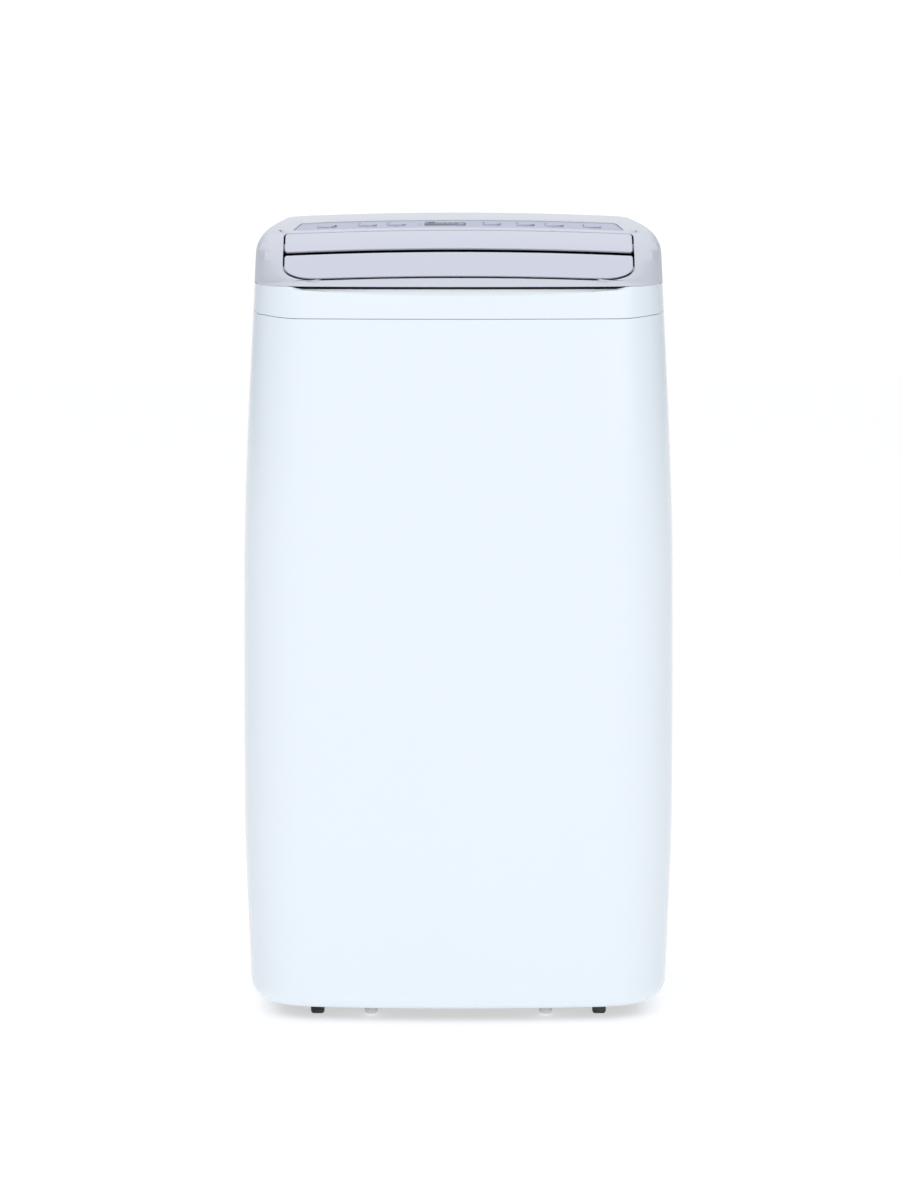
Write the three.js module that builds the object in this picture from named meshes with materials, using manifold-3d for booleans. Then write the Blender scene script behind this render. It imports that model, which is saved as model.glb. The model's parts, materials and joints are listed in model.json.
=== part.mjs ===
// Portable room air conditioner on casters: a bowed front panel, side and back panels, a sloped
// outlet with two tilting louvres, a strip of push buttons, and the cooling machinery inside.
// Millimetres, +Z up. The front faces -Y. The origin is on the floor under the box's middle.
import * as THREE from 'three';
import { mergeVertices } from 'three/addons/utils/BufferGeometryUtils.js';
import Module from 'manifold-3d';

const wasm = await Module();
wasm.setup();

// ---- Driving dimensions ---------------------------------------------------------------------
const HALF_W = 215;            // half the width at the widest height
const DEPTH = 185;             // from the middle to the front and to the back of the shell
const FRONT_BOW = 8;           // how far the front bulges past its own corners
const FRONT_R = 66;            // corner radius in plan, front
const REAR_R = 40;             // corner radius in plan, rear
const SKIRT_Z = 13;            // lower rim of the panels
const SKIRT_R = 22;            // rounding of the lower rim
const SEAM_Z = 688;            // joint between the panels and the top cover
const WIDE_LOW = 200;          // the body tapers below this height ...
const WIDE_HIGH = 450;         // ... and above this one
const WALL = 3;                // panel thickness
const GAP = 0.35;              // gap between fixed neighbours
const SIDE_Y = -95;            // joint between front panel and side panels
const BACK_Y = 140;            // joint between side panels and back panel
const CROWN = 4;               // the top assembly drops this much at x = 170
const TOP_BOW = 5;             // and its front edge recedes this much at x = 170
const SPAN = 170;              // half the outlet's length
const TOP_Z = 781;             // highest flat of the top cover
const SLOPE_C = [-66.6, 671.9]; // centre of the outlet slope's arc, in Y and Z
const SLOPE_R = 119;
const SLOPE_START = 158.2;     // arc angles of the slope, degrees from +Y
const SLOPE_END = 122.2;
const OUTLET_LOW = 728;        // outlet's lower and upper edge on the centre line
const OUTLET_HIGH = 771.3;
const SPLIT_LOW = 751.3;       // lower louvre's upper edge
const SPLIT_HIGH = 754.2;      // upper louvre's lower edge
const LOUVRE_T = 3.2;
const PIVOT_DEPTH = 7;         // louvre pivots below the slope's surface
const PIVOT_ANGLES = { lower: 144.5, upper: 130.3 };
const CRANK = 9;               // crank throw of the louvre linkage
const FASCIA = { y0: -126.5, z0: 774.1, y1: -84, z1: 780, half0: 161, half1: 154 };
const BUTTON_X = [-128, -88, -60, 32, 64, 92, 129];
const BUTTON_W = 17;
const BUTTON_D = 9;
const DISPLAY_X = -13;
const DISPLAY_W = 40;
const FIN_X = [-132, -66, 0, 66, 132];
const FIN_C = [-106, 716];     // fin pivots, in Y and Z
const FLOW = [-0.717, 0.697];  // direction of the air leaving the duct, in Y and Z
const CASTER = { x: 139, yFront: -118, yRear: 126, trail: 8, r: 14, w: 13 };
const GLIDE = { x: 86, y: -133, r: 6.5 };
const BASE = { z0: 36, z1: 42, rim: 58 };
const COLLAR = { z: 375, r: 75, wall: 4, out: 15 };
const UPPER_GRILLE = { half: 150, z0: 474, z1: 656 };
const LOWER_GRILLE = { half: 150, z0: 78, z1: 250 };
const HANDLE = { y: 20, half: 52, z0: 588, z1: 622, depth: 26 };

const rad = (deg) => (deg * Math.PI) / 180;
const crownAt = (x) => -CROWN * (x / SPAN) ** 2;
const topBowAt = (x) => TOP_BOW * (x / SPAN) ** 2;

// ---- Solids ---------------------------------------------------------------------------------
function toSolid(geometry) {
  const bare = geometry.clone();
  bare.deleteAttribute('normal');
  bare.deleteAttribute('uv');
  const merged = mergeVertices(bare, 1e-4);
  return new wasm.Manifold(new wasm.Mesh({
    numProp: 3,
    vertProperties: new Float32Array(merged.attributes.position.array),
    triVerts: new Uint32Array(merged.index.array),
  }));
}

function toGeometry(solid) {
  const mesh = solid.getMesh();
  const geometry = new THREE.BufferGeometry();
  geometry.setAttribute('position', new THREE.BufferAttribute(mesh.vertProperties, 3));
  geometry.setIndex(new THREE.BufferAttribute(mesh.triVerts, 1));
  geometry.computeVertexNormals();
  return geometry;
}

const join = (...solids) => solids.reduce((a, b) => a.add(b));
const cut = (solid, ...tools) => tools.reduce((a, b) => a.subtract(b), solid);

function box(x0, x1, y0, y1, z0, z1) {
  const geometry = new THREE.BoxGeometry(x1 - x0, y1 - y0, z1 - z0);
  return toSolid(geometry.translate((x0 + x1) / 2, (y0 + y1) / 2, (z0 + z1) / 2));
}

// Cylinder along an axis, from `from` to `to` on it; `at` holds the other two coordinates.
function cyl(axis, radius, from, to, at, sides = 16) {
  const geometry = new THREE.CylinderGeometry(radius, radius, to - from, sides);
  const mid = (from + to) / 2;
  if (axis === 'x') geometry.rotateZ(-Math.PI / 2).translate(mid, at[0], at[1]);
  if (axis === 'y') geometry.translate(at[0], mid, at[1]);
  if (axis === 'z') geometry.rotateX(Math.PI / 2).translate(at[0], at[1], mid);
  return toSolid(geometry);
}

const shapeOf = (points) => new THREE.Shape(points.map(([u, v]) => new THREE.Vector2(u, v)));

// A Y-Z outline swept along X; `crowned` bends it with the top assembly.
function sweepX(points, x0, x1, crowned = false, steps = crowned ? 9 : 1) {
  const geometry = new THREE.ExtrudeGeometry(shapeOf(points),
    { depth: x1 - x0, steps, bevelEnabled: false });
  const basis = new THREE.Matrix4().makeBasis(new THREE.Vector3(0, 1, 0),
    new THREE.Vector3(0, 0, 1), new THREE.Vector3(1, 0, 0));
  geometry.applyMatrix4(basis).translate(x0, 0, 0);
  if (crowned) {
    warp(geometry, (p) => p.set(p.x, p.y + topBowAt(p.x), p.z + crownAt(p.x)));
  }
  return toSolid(geometry);
}

// An X-Z outline swept along Y.
function sweepY(points, y0, y1) {
  const geometry = new THREE.ExtrudeGeometry(shapeOf(points), { depth: y1 - y0, bevelEnabled: false });
  const basis = new THREE.Matrix4().makeBasis(new THREE.Vector3(1, 0, 0),
    new THREE.Vector3(0, 0, 1), new THREE.Vector3(0, -1, 0));
  return toSolid(geometry.applyMatrix4(basis).translate(0, y1, 0));
}

function sweepZ(shape, z0, z1, curveSegments = 6) {
  const geometry = new THREE.ExtrudeGeometry(shape, { depth: z1 - z0, bevelEnabled: false, curveSegments });
  return toSolid(geometry.translate(0, 0, z0));
}

function warp(geometry, change) {
  const position = geometry.attributes.position;
  const p = new THREE.Vector3();
  for (let i = 0; i < position.count; i += 1) {
    change(p.fromBufferAttribute(position, i));
    position.setXYZ(i, p.x, p.y, p.z);
  }
}

// ---- Outer form -----------------------------------------------------------------------------
// How far the sides draw in at height z, as a share of the taper.
function taper(z) {
  if (z > WIDE_HIGH) return 10.5 * ((z - WIDE_HIGH) / 295) ** 1.6;
  if (z < WIDE_LOW) return 5.5 * ((WIDE_LOW - z) / 170) ** 1.3;
  return 0;
}

function rimInset(z) {
  const up = Math.min(Math.max(z - SKIRT_Z, 0), SKIRT_R);
  return SKIRT_R - Math.sqrt(SKIRT_R ** 2 - (SKIRT_R - up) ** 2);
}

function planShape(inset) {
  const w = HALF_W - inset;
  const f = DEPTH - inset;
  const rf = FRONT_R - inset;
  const rr = REAR_R - inset;
  const k = 0.55;
  const s = new THREE.Shape();
  s.moveTo(-(w - rf), -f + FRONT_BOW);
  s.quadraticCurveTo(0, -f - FRONT_BOW, w - rf, -f + FRONT_BOW);
  s.bezierCurveTo(w - rf + rf * k, -f + FRONT_BOW + 4, w - 1.5, -f + rf - rf * k + 6, w - 1.5, -f + rf + 6);
  s.quadraticCurveTo(w + 1.5, 0, w - 1.5, f - rr);
  s.bezierCurveTo(w - 1.5, f - rr + rr * k, w - rr + rr * k, f, w - rr, f);
  s.lineTo(-(w - rr), f);
  s.bezierCurveTo(-(w - rr + rr * k), f, -(w - 1.5), f - rr + rr * k, -(w - 1.5), f - rr);
  s.quadraticCurveTo(-(w + 1.5), 0, -(w - 1.5), -f + rf + 6);
  s.bezierCurveTo(-(w - 1.5), -f + rf - rf * k + 6, -(w - rf + rf * k), -f + FRONT_BOW + 4,
    -(w - rf), -f + FRONT_BOW);
  return s;
}

// The body's outline drawn in by `inset` and stacked through the given heights.
function envelope(inset, levels, curveSegments = 5) {
  const steps = levels.length - 1;
  const geometry = new THREE.ExtrudeGeometry(planShape(inset),
    { depth: 1, steps, bevelEnabled: false, curveSegments });
  warp(geometry, (p) => {
    const z = levels[Math.round(p.z * steps)];
    const draw = taper(z) + rimInset(z);
    const kx = (HALF_W - inset - draw) / (HALF_W - inset);
    const front = (DEPTH - inset - 0.6 * taper(z) - rimInset(z)) / (DEPTH - inset);
    const back = (DEPTH - inset - rimInset(z)) / (DEPTH - inset);
    p.set(p.x * kx, p.y * (p.y < 0 ? front : back), z);
  });
  return toSolid(geometry);
}

const PANEL_LEVELS = [13, 15, 19.5, 26, 35, 110, 200, 450, 530, 610, SEAM_Z - GAP / 2];

function panelRing() {
  const inner = [0, 12.9, ...PANEL_LEVELS.slice(1, -1), SEAM_Z + 5];
  return cut(envelope(0, PANEL_LEVELS), envelope(WALL, inner));
}

function slopePoint(angle, depth = 0) {
  const r = SLOPE_R - depth;
  return [SLOPE_C[0] + r * Math.cos(rad(angle)), SLOPE_C[1] + r * Math.sin(rad(angle))];
}

function slopeArc(depth, from, to, count) {
  return Array.from({ length: count + 1 }, (_, i) => slopePoint(from + ((to - from) * i) / count, depth));
}

// Side outline of the top: chin, slope, button strip, flat top, rounded rear edge.
function topProfile(inset, zLow) {
  const t = inset;
  return [
    [-215, zLow], [-215, 713 - t], ...slopeArc(t, SLOPE_START, SLOPE_END, 6),
    [FASCIA.y0 + t * 0.3, FASCIA.z0 - t], [FASCIA.y1, FASCIA.z1 - t], [-70, TOP_Z - t],
    [158 - t * 0.4, TOP_Z - t], [171 - t * 0.7, 778 - t * 0.8], [180 - t * 0.9, 770 - t * 0.5],
    [185.5 - t, 756], [190, 735], [190, zLow],
  ].reverse();
}

function cornerProfile(inset, zLow) {
  const x = 206.5 - inset;
  const rx = 30 - inset * 0.4;
  const arc = Array.from({ length: 6 }, (_, i) => {
    const a = rad(i * 18);
    return [x - rx + rx * Math.cos(a), 750 + (28 - inset) * Math.sin(a)];
  });
  const right = [[230, zLow], [230, 738], ...arc, [120, 790 - inset]];
  return [...right, ...right.map(([u, v]) => [-u, v]).reverse()];
}

function topBlock(inset, zLow) {
  const low = zLow - 2;
  return envelope(inset, [zLow, 716, 740, 765, 800])
    .intersect(sweepX(topProfile(inset, low), -225, 225, true, 10))
    .intersect(sweepY(cornerProfile(inset, low), -230, 230));
}

// Front outline of the outlet, or of one louvre in it; `low` also rounds the lower corners.
function outletOutline(half, zLow, zHigh, low = true) {
  const n = 8;
  const edge = (z) => Array.from({ length: n + 1 }, (_, i) => {
    const x = -(half - (low ? 33 : 0)) + ((2 * (half - (low ? 33 : 0))) * i) / n;
    return [x, z + crownAt(x)];
  });
  const bottom = edge(zLow);
  const rise = 13;
  const corner = [0.3, 0.55, 0.8, 1].map((s) => {
    const x = half - 33 + 33 * Math.sin(s * Math.PI / 2);
    return [x, zLow + rise * (1 - Math.cos(s * Math.PI / 2)) + crownAt(x)];
  });
  const top = Array.from({ length: n + 1 }, (_, i) => {
    const x = half - (2 * half * i) / n;
    return [x, zHigh + crownAt(x)];
  });
  if (!low) return [...bottom, ...top];
  return [...bottom, ...corner, ...top, ...corner.map(([x, z]) => [-x, z]).reverse()];
}

// ---- Panels and top -------------------------------------------------------------------------
function makeFrontPanel() {
  return panelRing().intersect(box(-230, 230, -230, SIDE_Y - GAP / 2, 0, 700));
}

function makeSidePanel(side) {
  const half = box(100, 230, SIDE_Y + GAP / 2, BACK_Y - GAP / 2, 0, 700);
  const h = HANDLE;
  const opening = box(190, 230, h.y - h.half, h.y + h.half, h.z0, h.z1);
  const panel = panelRing().intersect(half).subtract(opening);
  return side > 0 ? panel : panel.mirror([1, 0, 0]);
}

// Pocket for the fingers behind the opening in a side panel.
function makeHandle(side) {
  const h = HANDLE;
  const xOut = 208.2;
  const outer = box(xOut - h.depth - 2.5, xOut - 0.5, h.y - h.half - 2.2, h.y + h.half + 2.2, h.z0 - 2.2, h.z1 + 2.2);
  const inner = box(xOut - h.depth, xOut + 4, h.y - h.half + 0.4, h.y + h.half - 0.4, h.z0 + 0.4, h.z1 - 0.4);
  const cup = outer.subtract(inner).subtract(envelope(0, [500, 560, 610, 650])
    .subtract(envelope(WALL + 0.3, [480, 560, 610, 670])));
  return side > 0 ? cup : cup.mirror([1, 0, 0]);
}

function makeBackPanel() {
  const u = UPPER_GRILLE;
  const l = LOWER_GRILLE;
  return cut(panelRing().intersect(box(-230, 230, BACK_Y + GAP / 2, 230, 0, 700)),
    box(-u.half - 1, u.half + 1, 160, 200, u.z0 - 1, u.z1 + 1),
    box(-l.half - 1, l.half + 1, 160, 200, l.z0 - 1, l.z1 + 1),
    cyl('y', COLLAR.r + 1.4, 160, 200, [0, COLLAR.z], 20),
    cyl('y', 10.4, 160, 200, [128, 330], 12),
    cyl('y', 10.4, 160, 200, [-128, 55], 12),
    cyl('y', 9.4, 160, 200, [150, 55], 12));
}

function makeTopCover() {
  const shell = topBlock(0, SEAM_Z + GAP / 2).subtract(topBlock(WALL, SEAM_Z - 6));
  const outlet = sweepY(outletOutline(SPAN + 0.5, OUTLET_LOW, OUTLET_HIGH), -230, -100)
    .intersect(sweepX([...slopeArc(-9, 164, 116, 4), ...slopeArc(6, 116, 164, 4)].reverse(), -190, 190, true));
  const recess = fasciaPlate(GAP, -8, 3);
  return cut(shell, outlet, recess, cyl('x', 2.9, -179, -175.2, pivotOf('lower'), 12));
}

// Tapered plate of the button strip between two heights above its face, grown by `grow`.
function fasciaPlate(grow, low, high) {
  const f = FASCIA;
  const profile = [[f.y0 - grow, f.z0 + low], [f.y1 + grow, f.z1 + low],
    [f.y1 + grow, f.z1 + high], [f.y0 - grow, f.z0 + high]];
  const strip = sweepX(profile, -168, 168, true);
  const plan = shapeOf([[-f.half0 - grow, f.y0 - 6], [f.half0 + grow, f.y0 - 6],
    [f.half1 + grow, f.y1 + 10], [-f.half1 - grow, f.y1 + 10]]);
  return strip.intersect(sweepZ(plan, 740, 800));
}

// Height of the strip's face at a point.
function faceZ(x, y) {
  const f = FASCIA;
  const k = (y - topBowAt(x) - f.y0) / (f.y1 - f.y0);
  return f.z0 + (f.z1 - f.z0) * k + crownAt(x);
}

const BUTTON_Y = -106;
const BUTTON_TILT = Math.atan2(FASCIA.z1 - FASCIA.z0, FASCIA.y1 - FASCIA.y0);

function tilted(solid, x, y, lift) {
  return solid.rotate([(BUTTON_TILT * 180) / Math.PI, 0, 0]).translate([x, y, faceZ(x, y) + lift]);
}

function makeFascia() {
  const plate = fasciaPlate(0, -2.6, 0);
  const holes = BUTTON_X.map((x) => tilted(
    box(-BUTTON_W / 2 - 0.4, BUTTON_W / 2 + 0.4, -BUTTON_D / 2 - 0.4, BUTTON_D / 2 + 0.4, -6, 4), x, BUTTON_Y, 0));
  const window = tilted(box(-DISPLAY_W / 2 - 0.3, DISPLAY_W / 2 + 0.3, -7.3, 7.3, -6, 4), DISPLAY_X, BUTTON_Y, 0);
  return cut(plate, window, ...holes);
}

function makeButton(x) {
  const cap = box(-BUTTON_W / 2, BUTTON_W / 2, -BUTTON_D / 2, BUTTON_D / 2, -3.4, 0.5);
  const flange = box(-BUTTON_W / 2 - 1.5, BUTTON_W / 2 + 1.5, -BUTTON_D / 2 - 1.5, BUTTON_D / 2 + 1.5, -4.4, -3.2);
  return tilted(cap.add(flange), x, BUTTON_Y, 0);
}

function makeDisplay() {
  return tilted(box(-DISPLAY_W / 2, DISPLAY_W / 2, -7, 7, -2.6, 0.1), DISPLAY_X, BUTTON_Y, 0);
}

// ---- Outlet ---------------------------------------------------------------------------------
function pivotOf(name) {
  const [y, z] = slopePoint(PIVOT_ANGLES[name], PIVOT_DEPTH);
  return [y + topBowAt(SPAN - 2), z + crownAt(SPAN - 2)];
}

// A louvre follows the slope; its end bosses carry the pins, and one end a crank.
function makeLouvre(name) {
  const isLow = name === 'lower';
  const band = topBlock(0.4, 660).subtract(topBlock(LOUVRE_T, 650));
  const outline = isLow ? outletOutline(SPAN - 1, OUTLET_LOW + 1.6, SPLIT_LOW)
    : outletOutline(SPAN - 1, SPLIT_HIGH, OUTLET_HIGH - 1.3, false);
  const at = pivotOf(name);
  const blade = band.intersect(sweepY(outline, -230, -100));
  const parts = [-1, 1].map((s) => cyl('x', 4.4, s < 0 ? -168.6 : 160, s < 0 ? -160 : 168.6, at, 12)
    .add(cyl('x', 2, s < 0 ? -176 : 168, s < 0 ? -168 : 176, at, 10)));
  const crank = box(-178.4, -175.6, at[0] - 0.6, at[0] + CRANK + 2.4, at[1] - 2.3, at[1] + 2.3);
  const stud = cyl('x', 1.6, -182.5, -178, [at[0] + CRANK, at[1]], 10);
  return join(blade, join(...parts, crank, stud).intersect(topBlock(WALL - 1.5, 640)));
}

// Bar that ties the two cranks, so that both louvres tilt together.
function makeLouvreLink() {
  const a = pivotOf('lower');
  const b = pivotOf('upper');
  const ends = [a, b].map(([y, z]) => [y + CRANK, z]);
  const len = Math.hypot(ends[1][0] - ends[0][0], ends[1][1] - ends[0][1]);
  const turn = Math.atan2(ends[1][1] - ends[0][1], ends[1][0] - ends[0][0]);
  const bar = box(-181.5, -179, -3.4, len + 3.4, -3.4, 3.4).rotate([(turn * 180) / Math.PI, 0, 0])
    .translate([0, ends[0][0], ends[0][1]]);
  return cut(bar, ...ends.map((p) => cyl('x', 2.1, -190, -170, p, 10)));
}

const DUCT = { l0: [-160, 722], l1: [-122, 686], u0: [-110, 766], u1: [-76, 732], wall: 2.5 };

function makeDuct() {
  const { l0, l1, u0, u1, wall } = DUCT;
  const n = [wall * 0.7, wall * 0.72];
  const outer = [[l0[0] - n[0], l0[1] - n[1]], [l1[0] - n[0], l1[1] - n[1]],
    [u1[0] + n[0], u1[1] + n[1]], [u0[0] + n[0], u0[1] + n[1] - 0.5]];
  const shell = sweepX(outer, -175, 175).subtract(sweepX([
    [l0[0] - 20 * 0.717, l0[1] + 20 * 0.697], [l0[0], l0[1]], [l1[0], l1[1]], [l1[0] + 14, l1[1] - 14],
    [u1[0] + 14, u1[1] - 14], [u1[0], u1[1]], [u0[0], u0[1]], [u0[0] - 20 * 0.717, u0[1] + 20 * 0.697],
  ], -171.5, 171.5));
  const rim = slopeArc(WALL + 0.6, 151, 127, 5)
    .map(([y, z]) => [y + topBowAt(SPAN + 5), z + crownAt(SPAN + 5)]);
  const cheekLine = [outer[0], outer[1], outer[2], outer[3], ...rim.reverse()];
  const cheeks = [sweepX(cheekLine, -175, -171.6), sweepX(cheekLine, 171.6, 175)];
  const bores = ['lower', 'upper'].map((name) => cyl('x', 2.35, -190, 190, pivotOf(name), 10));
  return cut(join(shell, ...cheeks).intersect(topBlock(WALL + 0.5, 640)), ...bores,
    ...FIN_X.map((x) => finRod(x, 1.9, 45)));
}

// Rod along a fin's pivot axis, across the flow.
function finRod(x, radius, half) {
  return cyl('z', radius, -half, half, [0, 0], 8).rotate([-44.2, 0, 0])
    .translate([x, FIN_C[0], FIN_C[1]]);
}

function makeFin(x) {
  const blade = box(-0.8, 0.8, -10, 10, -27, 27).rotate([-44.2, 0, 0])
    .translate([x, FIN_C[0], FIN_C[1]]);
  return blade.add(finRod(x, 1.5, 32.6));
}

function makeFinLink() {
  const at = [FIN_C[0] - FLOW[0] * 13, FIN_C[1] - FLOW[1] * 13];
  return box(-150, 150, -1.5, 1.5, -3, 3).rotate([-44.2, 0, 0]).translate([0, at[0], at[1]]);
}

// Geared stepper motor outside the duct's right cheek, beside the upper louvre's pin.
function makeLouvreMotor() {
  const [y, z] = pivotOf('upper');
  return join(cyl('x', 10, 178.5, 188, [y + 8, z - 5], 14), box(176.6, 179, y - 4, y + 26, z - 8, z - 2));
}

// ---- Back -----------------------------------------------------------------------------------
// Louvred intake door: a plate with two columns of slots.
function makeGrille(g, rows) {
  const pitch = (g.z1 - g.z0 - 20) / rows;
  const slots = [];
  for (let i = 0; i < rows; i += 1) {
    const z = g.z0 + 10 + i * pitch + 2;
    slots.push(box(-g.half + 10, -6, 170, 200, z, z + pitch - 4),
      box(6, g.half - 10, 170, 200, z, z + pitch - 4));
  }
  return cut(box(-g.half, g.half, DEPTH - 3, DEPTH, g.z0, g.z1), ...slots);
}

// Washable filter: a frame with cross bars and a sheet of mesh.
function makeFilter(g) {
  const y0 = DEPTH - 3.4 - 6;
  const x = g.half - 5;
  const frame = box(-x, x, y0, y0 + 6, g.z0 + 6, g.z1 - 6);
  const step = (2 * x - 8) / 4;
  const zMid = (g.z0 + g.z1) / 2;
  const windows = [];
  for (let i = 0; i < 4; i += 1) {
    const wx = -x + 6 + i * step;
    windows.push(box(wx, wx + step - 4, y0 + 2.6, y0 + 9, g.z0 + 12, zMid - 2),
      box(wx, wx + step - 4, y0 + 2.6, y0 + 9, zMid + 2, g.z1 - 12));
  }
  return cut(frame, ...windows);
}

// Closed profile turned about an axis along Y.
function latheY(points, x, z, sides) {
  const geometry = new THREE.LatheGeometry(points.map(([r, y]) => new THREE.Vector2(r, y)), sides);
  return toSolid(geometry.translate(x, 0, z));
}

function makeCollar() {
  const ri = COLLAR.r - COLLAR.wall;
  const y = DEPTH;
  return latheY([[ri, y - 9], [COLLAR.r, y - 9], [COLLAR.r, y + GAP], [84, y + GAP], [84, y + 3],
    [COLLAR.r, y + 3], [COLLAR.r, y + COLLAR.out], [ri, y + COLLAR.out], [ri, y - 9]], 0, COLLAR.z, 20);
}

// Drain spout with a flange outside the back panel.
function makeSpout(x, z) {
  return latheY([[6.6, 170], [10, 170], [10, DEPTH + GAP], [13, DEPTH + GAP], [13, DEPTH + 2.5],
    [9, DEPTH + 2.5], [9, DEPTH + 6], [6.6, DEPTH + 6], [6.6, 170]], x, z, 12);
}

function makePlug(x, z) {
  return join(cyl('y', 6.2, DEPTH - 8, DEPTH + 7, [x, z], 12), cyl('y', 10, DEPTH + 6.4, DEPTH + 9, [x, z], 12),
    box(x - 1.2, x + 1.2, DEPTH + 8.8, DEPTH + 14, z - 6, z + 6));
}

function makeCordInlet() {
  return latheY([[4.2, 172], [9, 172], [9, DEPTH + GAP], [12, DEPTH + GAP], [12, DEPTH + 3], [7, DEPTH + 9],
    [4.2, DEPTH + 9], [4.2, 172]], 150, 55, 12);
}

// ---- Base and casters -----------------------------------------------------------------------
const CASTERS = [[-1, -1], [1, -1], [-1, 1], [1, 1]].map(([sx, sy]) => ({
  name: `${sy < 0 ? 'front' : 'rear'}_${sx < 0 ? 'left' : 'right'}`,
  x: sx * CASTER.x,
  y: sy < 0 ? CASTER.yFront : CASTER.yRear,
}));

function makeBase() {
  const inset = WALL + 2;
  const slab = (draw, z0, z1) => envelope(draw, [z0, z1]).intersect(box(-230, 230, -230, 230, z0, z1));
  const pan = slab(inset, BASE.z0, BASE.rim).subtract(slab(inset + 4, BASE.z1, BASE.rim + 5));
  const ports = [[-128, 55], [150, 55]].map(([x, z]) => box(x - 14, x + 14, 150, 200, z - 13.5, z + 20));
  const pads = CASTERS.map((c) => cyl('z', 9, BASE.z0, 47, [c.x, c.y], 12));
  return cut(join(pan, ...pads), ...ports, ...CASTERS.map((c) => cyl('z', 4.3, 0, 100, [c.x, c.y], 12)));
}

// Fork with its stem, stem head and wheel pin; the wheel trails behind the stem.
function makeFork(c) {
  const y = c.y - CASTER.trail;
  const half = CASTER.w / 2;
  const crown = box(c.x - half - 3, c.x + half + 3, c.y - 12, c.y + 8, 29.6, 33.4);
  const cheeks = [-1, 1].map((s) => {
    const a = c.x + s * (half + 0.6);
    const b = c.x + s * (half + 3);
    return sweepX([[y - 6, 10], [y + 5, 10], [c.y + 8, 30], [c.y - 12, 30]], Math.min(a, b), Math.max(a, b));
  });
  return join(crown, ...cheeks, cyl('x', 2.5, c.x - half - 2, c.x + half + 2, [y, CASTER.r], 8),
    cyl('z', 10, 33, 35.6, [c.x, c.y], 12), cyl('z', 4, 33, 49, [c.x, c.y], 8),
    cyl('z', 6.5, 47.6, 50, [c.x, c.y], 8));
}

function makeWheel(c) {
  const half = CASTER.w / 2;
  const sides = 16;
  const tread = CASTER.r / Math.cos(Math.PI / sides);
  const profile = [[2.8, -half], [12.3, -half], [tread, -half + 2], [tread, half - 2], [12.3, half],
    [2.8, half], [2.8, -half]];
  const geometry = new THREE.LatheGeometry(profile.map(([r, v]) => new THREE.Vector2(r, v)), sides);
  geometry.rotateY(Math.PI / sides).rotateZ(-Math.PI / 2).translate(c.x, c.y - CASTER.trail, CASTER.r);
  return toSolid(geometry);
}

function makeGlide(side) {
  const profile = [[0, 1], [3.5, 1.3], [5.6, 2.8], [6.5, 5.5], [6.5, 24], [9, 26], [9, 35.6], [0, 35.6]];
  const geometry = new THREE.LatheGeometry(profile.map(([r, v]) => new THREE.Vector2(r, v)), 14);
  return toSolid(geometry.rotateX(Math.PI / 2).translate(side * GLIDE.x, GLIDE.y, 0));
}

// ---- Machinery ------------------------------------------------------------------------------
function latheZ(points, x, y, sides = 20) {
  const geometry = new THREE.LatheGeometry(points.map(([r, z]) => new THREE.Vector2(r, z)), sides);
  return toSolid(geometry.rotateX(Math.PI / 2).translate(x, y, 0));
}

function makeCompressor() {
  return latheZ([[0, 62], [40, 62], [56, 70], [59, 84], [59, 210], [54, 226], [38, 238], [0, 242]], -112, -10);
}

function makeCompressorMount() {
  return join(box(-182, -42, -72, 52, 56, 61.5),
    ...[[-172, -62], [-52, -62], [-172, 42], [-52, 42]].map(([x, y]) => cyl('z', 9, BASE.z1 + 0.3, 57, [x, y], 10)));
}

// Finned block: grooves down both faces.
function makeCoil(x, y0, y1, z0, z1, count) {
  const pitch = (2 * x) / count;
  const front = [];
  const back = [];
  for (let i = 0; i < count; i += 1) {
    const a = -x + i * pitch;
    const b = a + pitch * 0.55;
    front.push([a, y0], [b, y0], [b, y0 + 7], [a + pitch, y0 + 7]);
    back.unshift([a + pitch, y1 - 7], [b, y1 - 7], [b, y1], [a, y1]);
  }
  return sweepZ(shapeOf([...front, ...back]), z0, z1);
}

// Scroll outline around a fan wheel, growing with the turn; `chim` is its outlet's half width.
function scrollOutline(cx, cz, r, grow, top, draw) {
  const points = [];
  for (let i = 0; i <= 15; i += 1) {
    const t = i / 15;
    const a = rad(20 - 290 * t);
    const q = r + grow * (1 - t) - draw;
    points.push([cx + q * Math.cos(a), cz + q * Math.sin(a)]);
  }
  const last = points[points.length - 1];
  const first = points[0];
  return [[first[0], top], ...points, [last[0] - 0.5, top]];
}

function makeHousing(s) {
  const outer = sweepY(scrollOutline(s.x, s.z, s.r, s.grow, s.top, 0).reverse(), s.y0, s.y1);
  const inner = sweepY(scrollOutline(s.x, s.z, s.r, s.grow, s.top + 8, 2.5).reverse(), s.y0 + 2.5, s.y1 - 2.5);
  return cut(outer, inner, cyl('y', s.inlet, s.y1 - 8, s.y1 + 8, [s.x, s.z], 20),
    cyl('y', 9, s.y0 - 8, s.y0 + 8, [s.x, s.z], 10));
}

function makeFanWheel(s) {
  const r = s.wheel;
  const y0 = s.y0 + 8;
  const y1 = s.y1 - 7;
  const disc = latheY([[0, y0], [r, y0], [r, y0 + 2], [14, y0 + 2], [14, y0 + 16], [0, y0 + 16]], s.x, s.z, 16);
  const ring = latheY([[r - 8, y1 - 3], [r, y1 - 3], [r, y1], [r - 8, y1], [r - 8, y1 - 3]], s.x, s.z, 16);
  const shaft = cyl('y', 4, s.y0 - 12, y0 + 1, [s.x, s.z], 10);
  const blades = Array.from({ length: 12 }, (_, i) => box(r - 7.5, r - 2.2, y0 + 1, y1 - 2, -0.8, 0.8)
    .rotate([0, 30 * i + 11, 0]).translate([s.x, 0, s.z]));
  return join(disc, ring, shaft, ...blades);
}

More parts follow.
